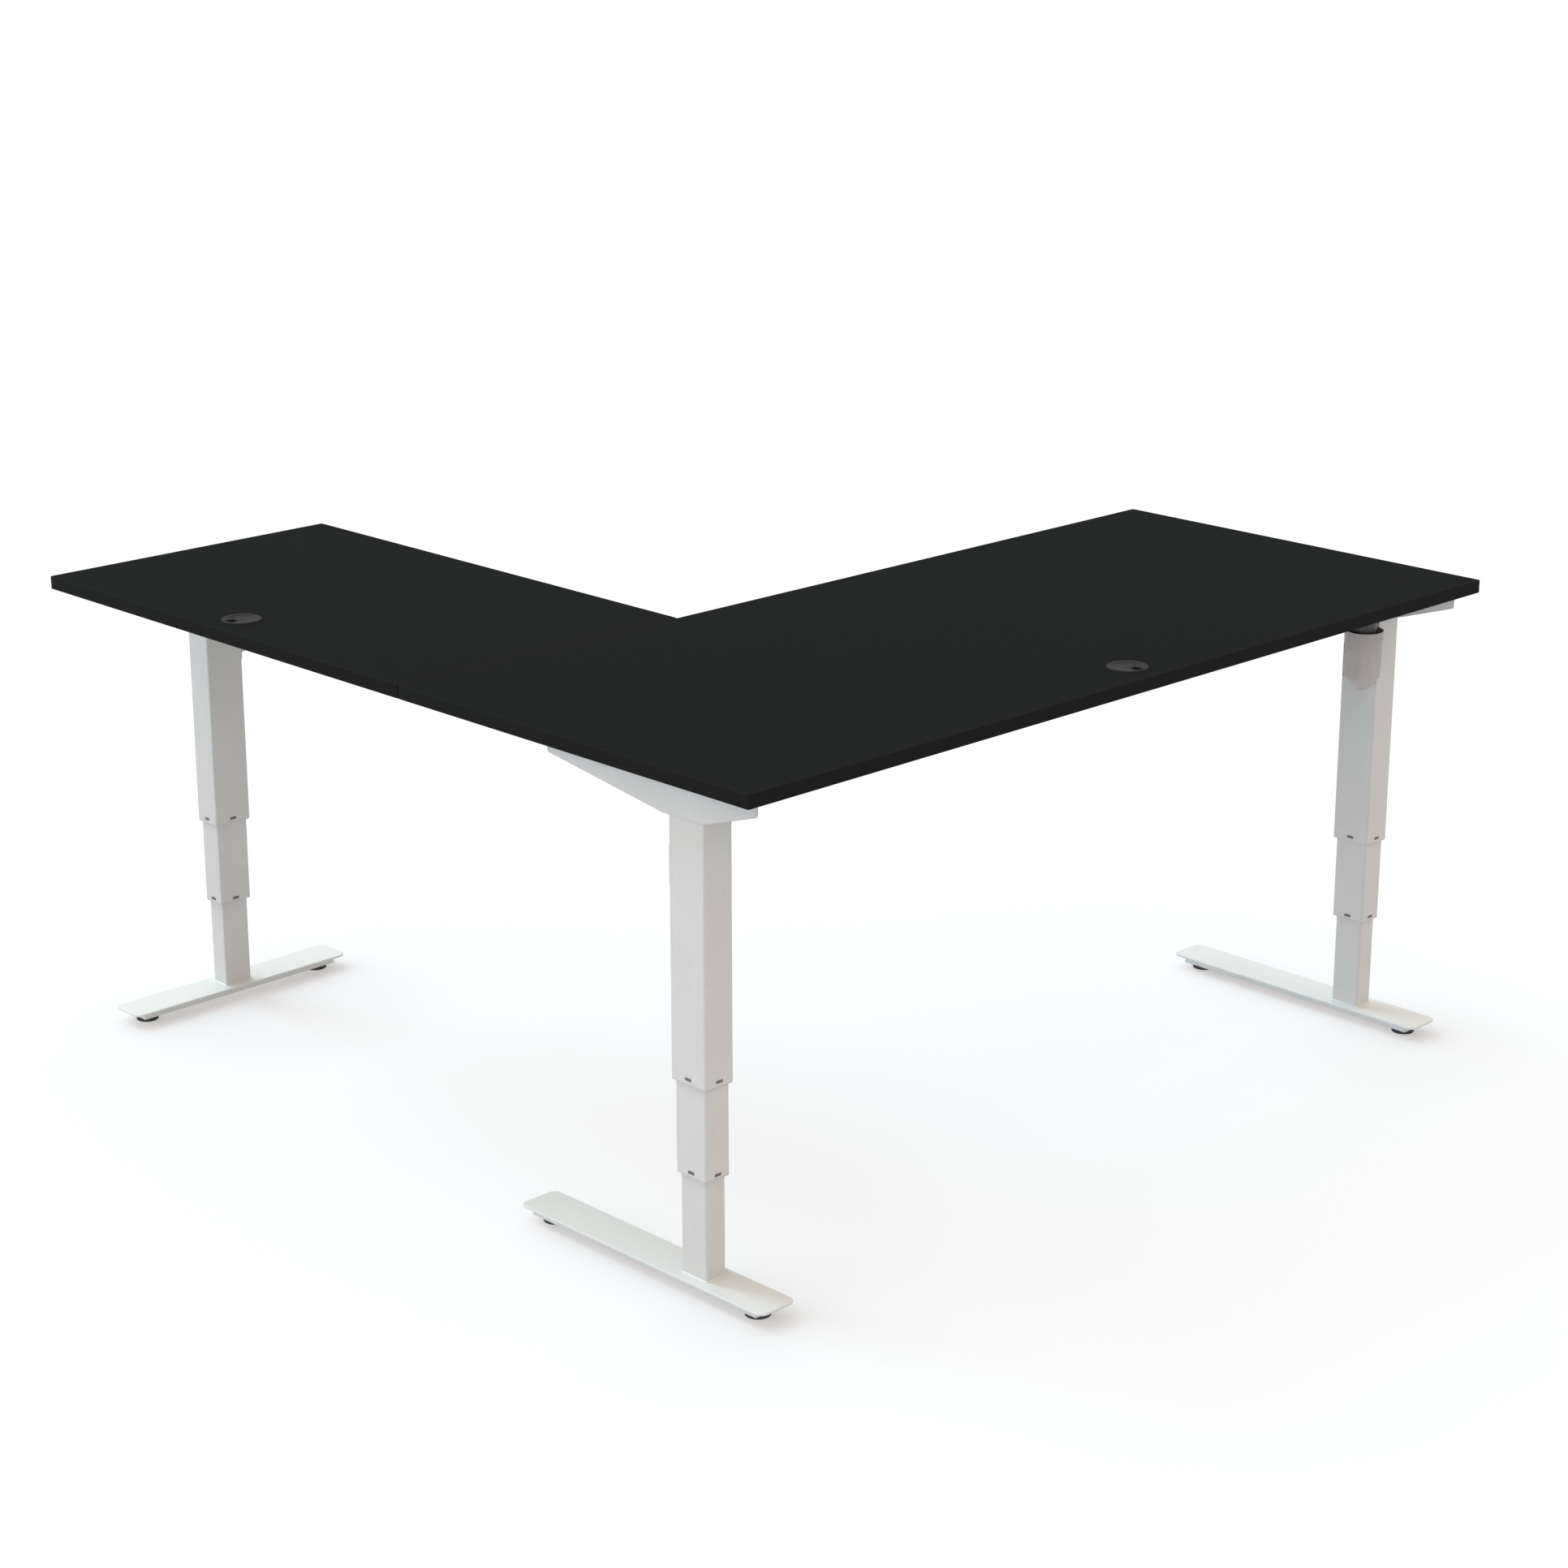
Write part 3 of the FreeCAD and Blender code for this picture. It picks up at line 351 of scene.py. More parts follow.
# ---------------------------------------------------------------------------
# Columns: three square steel tubes that slide in each other, powder coated like the feet.
# Each larger tube has a plastic bush in its lower end, held by a nose in each slot.
# ---------------------------------------------------------------------------
BUSH = finish("grey sliding plastic", light=(0.115, 0.112, 0.108), dark=(0.09, 0.088, 0.085),
              edge=(0.17, 0.165, 0.16), roughness=(0.4, 0.5), grain=1200, depth=0.00003,
              edge_width=0.0004)
for leg in LEGS:
    for tube in ("_inner_tube", "_middle_tube", "_outer_tube"):
        dress(leg + tube, POWDER)
    for bush in ("_middle_bush", "_outer_bush"):
        dress(leg + bush, BUSH)


# ---------------------------------------------------------------------------
# Welds: a ground fillet round the bottom of each column where it stands on its foot,
# under the same coat as the foot.
# ---------------------------------------------------------------------------
def brick(size, at):
    """A cutting block or a blank, at its size and place."""
    bpy.ops.object.select_all(action="DESELECT")
    bpy.ops.mesh.primitive_cube_add(size=1, location=at, scale=size)
    bpy.ops.object.transform_apply(location=True, rotation=True, scale=True)
    return bpy.context.active_object


def round_corners(obj, radius, segments, axis="z", where=lambda edge: True):
    """Opens a block and rounds its edges that run along an axis."""
    def runs_along(edge):
        start, end = edge.verts
        return abs(getattr((start.co - end.co).normalized(), axis)) > 0.9 and where(edge)

    into(obj)
    choose("EDGE", runs_along)
    bpy.ops.mesh.bevel(offset=radius, segments=segments, affect="EDGES")


WELD = 0.0022
TUBE_CORNER_R = 0.004
for leg in LEGS:
    low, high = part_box(leg + "_inner_tube")
    across, along = high.x - low.x, high.y - low.y
    weld = brick((across + 2 * WELD, along + 2 * WELD, 0.2 * WELD),
                 ((low.x + high.x) / 2, (low.y + high.y) / 2, low.z + 0.1 * WELD))
    round_corners(weld, TUBE_CORNER_R, 5)
    choose("FACE", lambda f: f.normal.z > 0.9)
    bpy.ops.mesh.inset(thickness=0.5 * WELD, depth=0.25 * WELD)
    bpy.ops.mesh.inset(thickness=0.4 * WELD, depth=0.45 * WELD)
    bpy.ops.object.mode_set(mode="OBJECT")
    # the weld takes the feet's lighter copy of the coat, with its painted light
    settle(weld, leg + "_foot_weld", leg + "_base", LIT_FOOT_POWDER)


# ---------------------------------------------------------------------------
# Lifting spindles: one greased steel screw with a trapezoidal thread inside each column,
# hung from the gearbox; the middle tube's cap is its nut.
# ---------------------------------------------------------------------------
SPINDLE = finish("greased screw steel", light=(0.50, 0.50, 0.50), dark=(0.30, 0.29, 0.27),
                 edge=(0.62, 0.62, 0.62), roughness=(0.18, 0.42), grain=600, depth=0.00002,
                 metal=1.0, edge_width=0.0004)
THREAD_R, THREAD_ROOT, THREAD_PITCH = 0.007, 0.0052, 0.004
SEAT_R, SEAT_H = 0.006, 0.014         # the plain neck that the gearbox holds

low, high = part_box("corner_spindle")
seat_low = high.z - SEAT_H
turns = int((high.z - low.z) / THREAD_PITCH) + 3
# one thread's outline, drawn from a single point, then wound up the screw
bpy.ops.object.select_all(action="DESELECT")
bpy.ops.mesh.primitive_circle_add(vertices=3, radius=THREAD_R, fill_type="NOTHING",
                                  location=(0, 0, 0))
screw = bpy.context.active_object
into(screw)
bpy.ops.mesh.select_mode(type="VERT")
bpy.ops.mesh.select_all(action="SELECT")
bpy.ops.mesh.merge(type="CENTER")
bpy.ops.mesh.select_all(action="SELECT")
bpy.ops.transform.translate(value=(THREAD_ROOT, 0, low.z - THREAD_PITCH))
for out, rise in ((0, 0.3), (THREAD_R - THREAD_ROOT, 0.2), (0, 0.3),
                  (THREAD_ROOT - THREAD_R, 0.2)):
    bpy.ops.mesh.extrude_region_move(
        TRANSFORM_OT_translate={"value": (out, 0, rise * THREAD_PITCH)})
bpy.ops.object.mode_set(mode="OBJECT")
wind = screw.modifiers.new("thread", "SCREW")
wind.steps = wind.render_steps = 20
wind.iterations = turns
wind.screw_offset = THREAD_PITCH
wind.use_merge_vertices = True
wind.merge_threshold = 0.00001
bpy.ops.object.modifier_apply(modifier="thread")
into(screw)
bpy.ops.mesh.remove_doubles(threshold=0.00001)
bpy.ops.mesh.bisect(plane_co=(0, 0, low.z), plane_no=(0, 0, 1), use_fill=True,
                    clear_inner=True)
bpy.ops.mesh.select_all(action="SELECT")
bpy.ops.mesh.bisect(plane_co=(0, 0, seat_low), plane_no=(0, 0, 1), use_fill=True,
                    clear_outer=True)
bpy.ops.mesh.select_all(action="SELECT")
bpy.ops.mesh.normals_make_consistent(inside=False)
bpy.ops.object.mode_set(mode="OBJECT")
seat = turned([(SEAT_R, seat_low - 0.002), (SEAT_R, seat_low), (THREAD_R, seat_low),
               (THREAD_R, high.z - 0.001), (SEAT_R, high.z)], steps=32)
screw = joined([seat, screw])
for leg in LEGS:
    spot = middle(leg + "_spindle")
    settle(another(screw, (spot.x, spot.y, 0)), leg + "_threaded_spindle", leg + "_screw",
           SPINDLE, [leg + "_spindle"])
throw_away(screw)


# ---------------------------------------------------------------------------
# Gearboxes: a die-cast housing on top of each column, bolted to the arm, with the motor
# hanging from its end.
# ---------------------------------------------------------------------------
def ease_edges(obj, radius, sharp):
    """Breaks every edge that turns more than an angle by a small radius."""
    pick_up(obj)
    ease = obj.modifiers.new("edges", "BEVEL")
    ease.width, ease.segments = radius, 2
    ease.limit_method, ease.angle_limit = "ANGLE", math.radians(sharp)
    bpy.ops.object.modifier_apply(modifier="edges")


def softened(node, name, radius, material, body="desk", sharp=30):
    """Stands for a frame node with a copy of it as one skin, its sharp edges eased."""
    source = frame["nodes"][node]
    pick_up(source)
    bpy.ops.object.duplicate(linked=False)
    obj = bpy.context.active_object
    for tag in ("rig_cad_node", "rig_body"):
        del obj[tag]
    obj.parent = None
    bpy.ops.mesh.customdata_custom_splitnormals_clear()
    into(obj)
    bpy.ops.mesh.remove_doubles(threshold=0.00001)
    bpy.ops.mesh.dissolve_limited(angle_limit=math.radians(0.5))
    bpy.ops.object.mode_set(mode="OBJECT")
    ease_edges(obj, radius, sharp)
    into(obj)
    bpy.ops.mesh.dissolve_degenerate(threshold=0.000002)
    bpy.ops.mesh.delete_loose()
    bpy.ops.object.mode_set(mode="OBJECT")
    settle(obj, name, body, material, [node])


CASTING = finish("die-cast alloy", light=(0.50, 0.50, 0.51), dark=(0.45, 0.45, 0.46),
                 edge=(0.62, 0.62, 0.63), roughness=(0.45, 0.6), grain=1500, depth=0.00005,
                 metal=1.0)
for leg in LEGS:
    softened(leg + "_gearbox", leg + "_gear_housing", 0.0008, CASTING)


# ---------------------------------------------------------------------------
# Gearbox screws: three small hexagon-socket screws that hold each motor to its gearbox,
# in the narrow ring between the can and the housing's edge.
# ---------------------------------------------------------------------------
def cut_away(obj, cutter):
    """Takes the cutter's shape out of a piece and throws the cutter away."""
    pick_up(obj)
    cut = obj.modifiers.new("cut", "BOOLEAN")
    cut.operation = "DIFFERENCE"
    cut.solver = "EXACT"
    cut.object = cutter
    bpy.ops.object.modifier_apply(modifier="cut")
    throw_away(cutter)


GEAR_LOW = 0.795              # the housing's underside
MOTOR_AXIS = {"corner": (-0.780, -0.651), "right": (0.758, -0.758), "left": (-0.526, 0.865)}
MOTOR_FACE = {"corner": 90, "right": 180, "left": 90}   # bearing from the column, in degrees
GEAR_SCREW_OUT = 0.0262       # from the motor's axis
small_head = turned([(0.0016, GEAR_LOW - 0.0022), (0.0020, GEAR_LOW - 0.0018),
                     (0.0021, GEAR_LOW - 0.0003), (0.0019, GEAR_LOW),
                     (0.0013, GEAR_LOW + 0.0020)], steps=24)
cut_away(small_head, turned([(0.0010, GEAR_LOW - 0.003), (0.0010, GEAR_LOW - 0.0010)], steps=6))
for leg in LEGS:
    x, y = MOTOR_AXIS[leg]
    heads = []
    for quarter in (-90, 0, 90):
        bearing = math.radians(MOTOR_FACE[leg] + quarter)
        heads.append(another(small_head, (x + GEAR_SCREW_OUT * math.cos(bearing),
                                          y + GEAR_SCREW_OUT * math.sin(bearing), 0)))
    settle(joined(heads), leg + "_gear_screws", "desk", ZINC)
throw_away(small_head)


# ---------------------------------------------------------------------------
# Motors: a dark enamelled can hung from each gearbox, rolled at both ends, with a tail
# boss; its plug housing of black plastic carries a grey latch.
# ---------------------------------------------------------------------------
MOTOR_R, MOTOR_TAIL, MOTOR_TOP = 0.022, 0.689, GEAR_LOW
GROOVE_R, NECK_R = 0.0212, 0.0210         # rolled in near the tail, and near the top
CAN_STEPS, VENT_EVERY, VENT_STEPS = 64, 8, 2       # steps round the can, and its vents
ENAMEL = finish("dark motor enamel", light=(0.075, 0.075, 0.08), dark=(0.05, 0.05, 0.055),
                edge=(0.13, 0.13, 0.135), roughness=(0.35, 0.45), grain=900, depth=0.00003)
BLACK = finish("black moulded plastic", light=(0.022, 0.022, 0.023), dark=(0.016, 0.016, 0.017),
               edge=(0.05, 0.05, 0.05), roughness=(0.42, 0.55), grain=1500, depth=0.00003,
               edge_width=0.0005)
LATCH = finish("grey latch plastic", light=(0.24, 0.24, 0.24), dark=(0.20, 0.20, 0.20),
               edge=(0.33, 0.33, 0.33), roughness=(0.4, 0.5), grain=1500, depth=0.00002,
               edge_width=0.0004)

can = turned([(0.0050, MOTOR_TAIL), (0.0055, MOTOR_TAIL + 0.0015), (0.0185, MOTOR_TAIL + 0.0020),
              (0.0205, MOTOR_TAIL + 0.0024), (MOTOR_R, MOTOR_TAIL + 0.0040),
              (MOTOR_R, MOTOR_TAIL + 0.018), (GROOVE_R, MOTOR_TAIL + 0.0186),
              (GROOVE_R, MOTOR_TAIL + 0.0202), (MOTOR_R, MOTOR_TAIL + 0.0208),
              (MOTOR_R, MOTOR_TOP - 0.0130), (NECK_R, MOTOR_TOP - 0.0122),
              (NECK_R, MOTOR_TOP - 0.0040), (MOTOR_R, MOTOR_TOP - 0.0032),
              (MOTOR_R, MOTOR_TOP)], steps=CAN_STEPS)
into(can)
choose("FACE", lambda f: abs(f.normal.z) < 0.1
       and MOTOR_TAIL + 0.005 < middle_of(f).z < MOTOR_TAIL + 0.0175
       and sector(f, CAN_STEPS) % VENT_EVERY < VENT_STEPS)
bpy.ops.mesh.inset(thickness=0.0008, depth=-0.0012, use_individual=True)
bpy.ops.object.mode_set(mode="OBJECT")

PLUG_W, PLUG_H, PLUG_IN, PLUG_OUT = 0.018, 0.030, 0.018, 0.028
PLUG_Z = 0.780
plug = brick((PLUG_W, PLUG_OUT - PLUG_IN, PLUG_H), (0, (PLUG_OUT + PLUG_IN) / 2, PLUG_Z))
into(plug)
choose("FACE", lambda f: f.normal.z < -0.9)
bpy.ops.mesh.inset(thickness=0.0014)
bpy.ops.mesh.extrude_region_move(TRANSFORM_OT_translate={"value": (0, 0, 0.006)})
choose("FACE", lambda f: f.normal.y > 0.9)
bpy.ops.mesh.inset(thickness=0.0030, depth=-0.0006)
choose("EDGE", lambda e: e.is_manifold and e.calc_face_angle(0) > 1.2
       and all(v.co.z < MOTOR_TOP - 0.0001 for v in e.verts))
bpy.ops.mesh.bevel(offset=0.0004, segments=2, affect="EDGES")
bpy.ops.object.mode_set(mode="OBJECT")

LATCH_W, LATCH_T, LATCH_H, LATCH_TONGUE = 0.009, 0.0016, 0.017, 0.004
LATCH_Z = 0.7815
latch = brick((LATCH_W, LATCH_T, LATCH_H), (0, PLUG_OUT - LATCH_T / 4, LATCH_Z))
into(latch)
choose("FACE", lambda f: f.normal.z < -0.9)
bpy.ops.mesh.extrude_region_move(TRANSFORM_OT_translate={"value": (0, 0, -LATCH_TONGUE)})
bpy.ops.transform.resize(value=(0.6, 1, 1), center_override=(0, PLUG_OUT, LATCH_Z))
choose("FACE", lambda f: f.normal.y > 0.9 and middle_of(f).z > PLUG_Z - 0.005)
bpy.ops.mesh.inset(thickness=0.0012, depth=-0.0005)
bpy.ops.object.mode_set(mode="OBJECT")

for leg in LEGS:
    at = (*MOTOR_AXIS[leg], 0)
    turn = MOTOR_FACE[leg] + 90
    settle(another(can, at, turn), leg + "_motor_can", "desk", ENAMEL,
           [leg + "_motor"])
    settle(another(plug, at, turn), leg + "_motor_plug", "desk", BLACK)
    settle(another(latch, at, turn), leg + "_motor_latch", "desk", LATCH)
throw_away(can, plug, latch)


# ---------------------------------------------------------------------------
# Motor covers: a grey moulded cup round each motor, open at the top, drafted, with four
# rounded flats and a coned nose; it clips to a plate on the column's face.
# ---------------------------------------------------------------------------
# its lighter edge colour paints a highlight along the cup's edges and the outlines of its flats
COVER = finish("warm grey moulded plastic", light=(0.49, 0.45, 0.43), dark=(0.44, 0.405, 0.385),
               edge=(0.66, 0.61, 0.585), roughness=(0.5, 0.6), grain=1300, depth=0.00005,
               edge_width=0.0016)
for leg in LEGS:
    softened(leg + "_motor_cover", leg + "_motor_cup", 0.0006, COVER, sharp=32)


# ---------------------------------------------------------------------------
# Arms: a folded steel angle on top of each column, its web tapering away from the column,
# powder coated; the boards are screwed down on its flange.
# ---------------------------------------------------------------------------
for leg in LEGS:
    softened(leg + "_arm", leg + "_folded_arm", 0.0005, POWDER)


# ---------------------------------------------------------------------------
# Beams: a rectangular sleeve with a slide inside it, for each wing of the desk, so that
# one frame fits several boards. Powder coated like the arms.
# ---------------------------------------------------------------------------
for beam in ("main_beam_sleeve", "main_beam_slide", "return_beam_sleeve", "return_beam_slide"):
    softened(beam, beam + "_tube", 0.0005, POWDER)


# ---------------------------------------------------------------------------
# Seam plates: two flat steel straps with rounded corners, powder coated, that hold the two
# boards level at their joint; four screws go up through each.
# ---------------------------------------------------------------------------
softened("seam_plates", "seam_straps", 0.0004, POWDER)


# ---------------------------------------------------------------------------
# Wood screws: zinc-plated pan heads with a cross recess, driven up into the boards through
# the arms, the straps, the control box and the handset.
# ---------------------------------------------------------------------------
def cross_recess(head, length, width, deep, z):
    """Cuts a screwdriver's cross into a head that looks down at height z."""
    for turn in (0, 90):
        groove = brick((length, width, 2 * deep), (0, 0, z))
        groove.data.transform(Matrix.Rotation(math.radians(turn), 4, "Z"))
        cut_away(head, groove)


SCREW_Z, SCREW_TIP = 0.829, 0.846         # the arm's underside, and the point in the board
PAN_R, PAN_H = 0.0045, 0.0024
SCREW_R, SCREW_ROOT, SCREW_PITCH = 0.0020, 0.0014, 0.0018
pan = turned([(0.0014, SCREW_Z - PAN_H), (0.0028, SCREW_Z - 0.00225),
              (0.0038, SCREW_Z - 0.0017), (0.0044, SCREW_Z - 0.0009), (PAN_R, SCREW_Z - 0.0004),
              (PAN_R, SCREW_Z), (SCREW_R, SCREW_Z)]
             + threads(SCREW_R, SCREW_ROOT, SCREW_Z + 0.0035, SCREW_TIP - 0.002, SCREW_PITCH)
             + [(0.0004, SCREW_TIP)], steps=28)
cross_recess(pan, length=0.0046, width=0.0010, deep=0.0015, z=SCREW_Z - PAN_H)

LONG_ARM_ROWS = (-0.135, -0.075, 0.215, 0.290)     # from the column's middle
LEFT_ARM_ROWS = (-0.212, -0.152, 0.138, 0.213)
SEAM_Y, STRAPS_X = -0.100, (-0.810, -0.450)        # where the boards meet, and the straps
STRAP_HALF_W, STRAP_HALF_L = 0.015, 0.060          # a strap's own rows of screws
CASE_EARS_X, CASE_EARS_Y = (-0.003, 0.263), (-0.400, -0.330)
HANDSET_TABS_X, HANDSET_TABS_Y = (0.304, 0.396), -0.126
TURN_STEP = 23                # degrees from one screw's cross to the next

corner_at, right_at, left_at = (middle(leg + "_outer_tube") for leg in LEGS)
spots = [(at.x, at.y + row) for at in (corner_at, right_at) for row in LONG_ARM_ROWS]
spots += [(left_at.x + row, left_at.y) for row in LEFT_ARM_ROWS]
spots += [(x + dx, SEAM_Y + dy) for x in STRAPS_X for dx in (-STRAP_HALF_W, STRAP_HALF_W)
          for dy in (-STRAP_HALF_L, STRAP_HALF_L)]
spots += [(x, y) for x in CASE_EARS_X for y in CASE_EARS_Y]
spots += [(x, HANDSET_TABS_Y) for x in HANDSET_TABS_X]
screws = [another(pan, (x, y, 0), turn=TURN_STEP * k) for k, (x, y) in enumerate(spots)]
throw_away(pan)
settle(joined(screws), "board_screws", "desk", ZINC, ["top_screws"])


# ---------------------------------------------------------------------------
# Frame bolts: M6 socket cap screws that hold the beams to the arms and to each other,
# reached through round access holes, and two below each sleeve that clamp its slide.
# ---------------------------------------------------------------------------
BOLT_HEAD_R, BOLT_HEAD_H, BOLT_R, BOLT_ROOT, BOLT_PITCH = 0.005, 0.004, 0.003, 0.0025, 0.0010
BOLT_KEY_R = 0.0029           # to the socket's corners
cap_head = turned([(0.0040, -BOLT_HEAD_H), (BOLT_HEAD_R, -BOLT_HEAD_H + 0.0006),
                   (BOLT_HEAD_R, -0.0002), (0.0048, 0.0), (BOLT_R, 0.0), (BOLT_R, 0.0018)]
                  + threads(BOLT_R, BOLT_ROOT, 0.0020, 0.0048, BOLT_PITCH)[:-1]
                  + [(0.0026, 0.005)], steps=36)
socket = turned([(BOLT_KEY_R, -BOLT_HEAD_H - 0.001), (BOLT_KEY_R, -BOLT_HEAD_H + 0.0024)],
                steps=6)
cut_away(cap_head, socket)

MAIN_BOLTS_Y, MAIN_BOLTS_Z = (-0.585, -0.555), 0.827        # up into the main beam's ends
RETURN_BOLTS_X, RETURN_BOLTS_Z = (-0.729, -0.699), 0.815    # along the return beam
RETURN_NEAR_Y, RETURN_FAR_Y = -0.542, 0.805
SLEEVE_LOW = 0.801
MAIN_CLAMPS_X, RETURN_CLAMPS_Y = (0.050, 0.080), (0.100, 0.130)

bolts = [another(cap_head, (at.x, y, MAIN_BOLTS_Z)) for at in (corner_at, right_at)
         for y in MAIN_BOLTS_Y]
for x in RETURN_BOLTS_X:
    bolts.append(another(cap_head, (x, RETURN_NEAR_Y, RETURN_BOLTS_Z), turn=-90, axis="X"))
    bolts.append(another(cap_head, (x, RETURN_FAR_Y, RETURN_BOLTS_Z), turn=90, axis="X"))
for x in MAIN_CLAMPS_X:
    bolts.append(another(cap_head, (x, middle("main_beam_sleeve").y, SLEEVE_LOW)))
for y in RETURN_CLAMPS_Y:
    bolts.append(another(cap_head, (middle("return_beam_sleeve").x, y, SLEEVE_LOW)))
throw_away(cap_head)
settle(joined(bolts), "beam_bolts", "desk", ZINC, ["frame_bolts"])


# ---------------------------------------------------------------------------
# Boards: 23 mm particle board faced above and below with matt black laminate, with a 1 mm
# black edge band round each; a hair-fine joint shows where band and laminate meet.
# ---------------------------------------------------------------------------
LAMINATE = finish("matt black laminate", light=(0.0099, 0.0106, 0.0107),
                  dark=(0.0085, 0.0090, 0.0091), edge=(0.018, 0.018, 0.018),
                  roughness=(0.85, 0.92), grain=2200, depth=0.00004, gloss=0.02)
BANDING = finish("black edge band", light=(0.0140, 0.0142, 0.0144), dark=(0.0120, 0.0122, 0.0124),
                 edge=(0.020, 0.020, 0.020), roughness=(0.7, 0.8), grain=1500, depth=0.00005,
                 gloss=0.03)
BOARD_CORNER_R, BOARD_RIM_R = 0.003, 0.0008
BAND_T, JOINT_W = 0.0010, 0.00012
HOLE_R = 0.030

for node, name, grommet in (("main_top", "main_board", "right"),
                            ("return_top", "return_board", "left")):
    low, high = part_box(node)
    board = brick(high - low, (low + high) / 2)
    round_corners(board, BOARD_CORNER_R, 5)
    choose("FACE", lambda f: abs(f.normal.z) > 0.9)
    bpy.ops.mesh.inset(thickness=BAND_T)
    bpy.ops.mesh.inset(thickness=JOINT_W, depth=-JOINT_W)
    bpy.ops.mesh.inset(thickness=JOINT_W, depth=JOINT_W)
    choose("EDGE", lambda e: len(e.link_faces) == 2
           and {round(abs(f.normal.z), 2) for f in e.link_faces} == {0.0, 1.0})
    bpy.ops.mesh.bevel(offset=BOARD_RIM_R, segments=3, affect="EDGES")
    bpy.ops.object.mode_set(mode="OBJECT")
    board.data.materials.append(LAMINATE)
    board.data.materials.append(BANDING)
    for face in board.data.polygons:
        x, y, _ = face.center
        inward = min(x - low.x, high.x - x, y - low.y, high.y - y)
        face.material_index = 1 if inward < BAND_T + JOINT_W else 0
    hole_at = middle("grommet_" + grommet + "_liner")
    hole = turned([(HOLE_R, low.z - 0.01), (HOLE_R, high.z + 0.01)], (hole_at.x, hole_at.y), 72)
    cut_away(board, hole)
    settle(board, name, "desk", None, [node])


# ---------------------------------------------------------------------------
# Cable grommets: a flanged liner pressed into each board, with a dimpled grip ring, and a
# loose cap that turns in it and has a notch for the cables.
# ---------------------------------------------------------------------------
# its much lighter edge colour paints the bright highlight along the ring's rim and the lid's edges
GROMMET = finish("dark grey moulded plastic", light=(0.0195, 0.0190, 0.0185),
                 dark=(0.0165, 0.0160, 0.0155), edge=(0.12, 0.12, 0.12), roughness=(0.55, 0.65),
                 grain=1300, depth=0.00003, gloss=0.06, edge_width=0.0006)
TOP_Z, RIM_Z, UNDER_Z = 0.855, 0.857, 0.832
BORE_R, BARREL_R, FLANGE_R, REST_R, REST_DEEP = 0.0260, 0.0299, 0.0345, 0.0281, 0.003
DIMPLES, DIMPLE_IN, DIMPLE_OUT = 60, 0.0290, 0.0303
CAP_R = 0.0280
NOTCH_W, NOTCH_OUT, NOTCH_L, NOTCH_R = 0.018, 0.0105, 0.030, 0.004

for side, notch_turn, cap_body in (("left", 180, "left_cap"), ("right", 270, "right_cap")):
    spot = middle("grommet_" + side + "_liner")
    at = (spot.x, spot.y)
    liner = turned([(BORE_R, UNDER_Z), (0.0290, UNDER_Z), (BARREL_R, UNDER_Z + 0.001),
                    (BARREL_R, TOP_Z), (FLANGE_R, TOP_Z), (FLANGE_R, TOP_Z + 0.0008),
                    (0.0342, RIM_Z - 0.0005), (0.0336, RIM_Z - 0.0001), (0.0330, RIM_Z),
                    (DIMPLE_OUT, RIM_Z), (DIMPLE_IN, RIM_Z), (0.0283, RIM_Z - 0.0003),
                    (REST_R, RIM_Z - 0.0007), (REST_R, RIM_Z - REST_DEEP),
                    (BORE_R, RIM_Z - REST_DEEP), (BORE_R, UNDER_Z)], at, 2 * DIMPLES, ring=True)
    into(liner)
    choose("FACE", lambda f: f.normal.z > 0.9
           and DIMPLE_IN < (middle_of(f).xy - spot.xy).length < DIMPLE_OUT
           and sector(f, 2 * DIMPLES, *at) % 2)
    bpy.ops.mesh.inset(thickness=0.0002, depth=-0.0004, use_individual=True)
    bpy.ops.object.mode_set(mode="OBJECT")
    settle(liner, "grommet_" + side + "_ring", "desk", GROMMET,
           ["grommet_" + side + "_liner"])

    cap = turned([(0.0272, RIM_Z - 0.00295), (CAP_R, RIM_Z - 0.0022), (CAP_R, RIM_Z - 0.0004),
                  (0.0276, RIM_Z), (0.0262, RIM_Z), (0.0257, RIM_Z - 0.0003),
                  (0.0120, RIM_Z - 0.0003)], at, 2 * DIMPLES)
    notch = brick((NOTCH_L, NOTCH_W, 0.02), (spot.x + NOTCH_OUT + NOTCH_L / 2, spot.y, RIM_Z))
    round_corners(notch, NOTCH_R, 6,
                  where=lambda e: e.verts[0].co.x < spot.x + NOTCH_OUT + 0.001)
    bpy.ops.object.mode_set(mode="OBJECT")
    cut_away(cap, notch)
    ease_edges(cap, 0.0003, sharp=50)
    turned_cap = another(cap, turn=notch_turn, about=(*at, 0))
    throw_away(cap)
    settle(turned_cap, "grommet_" + side + "_lid", cap_body, GROMMET,
           ["grommet_" + side + "_cap"])


# ---------------------------------------------------------------------------
# Control box: a black moulded tray screwed up under the main board, closed by a vented
# lid, with three motor sockets, a handset socket and a mains inlet in its back wall.
# ---------------------------------------------------------------------------
SOCKET = finish("black socket plastic", light=(0.035, 0.035, 0.035), dark=(0.026, 0.026, 0.026),
                edge=(0.07, 0.07, 0.07), roughness=(0.35, 0.45), grain=1500, depth=0.00002,
                edge_width=0.0005)
softened("control_case", "control_tray", 0.0008, BLACK)
softened("control_sockets", "control_socket_block", 0.0004, SOCKET)

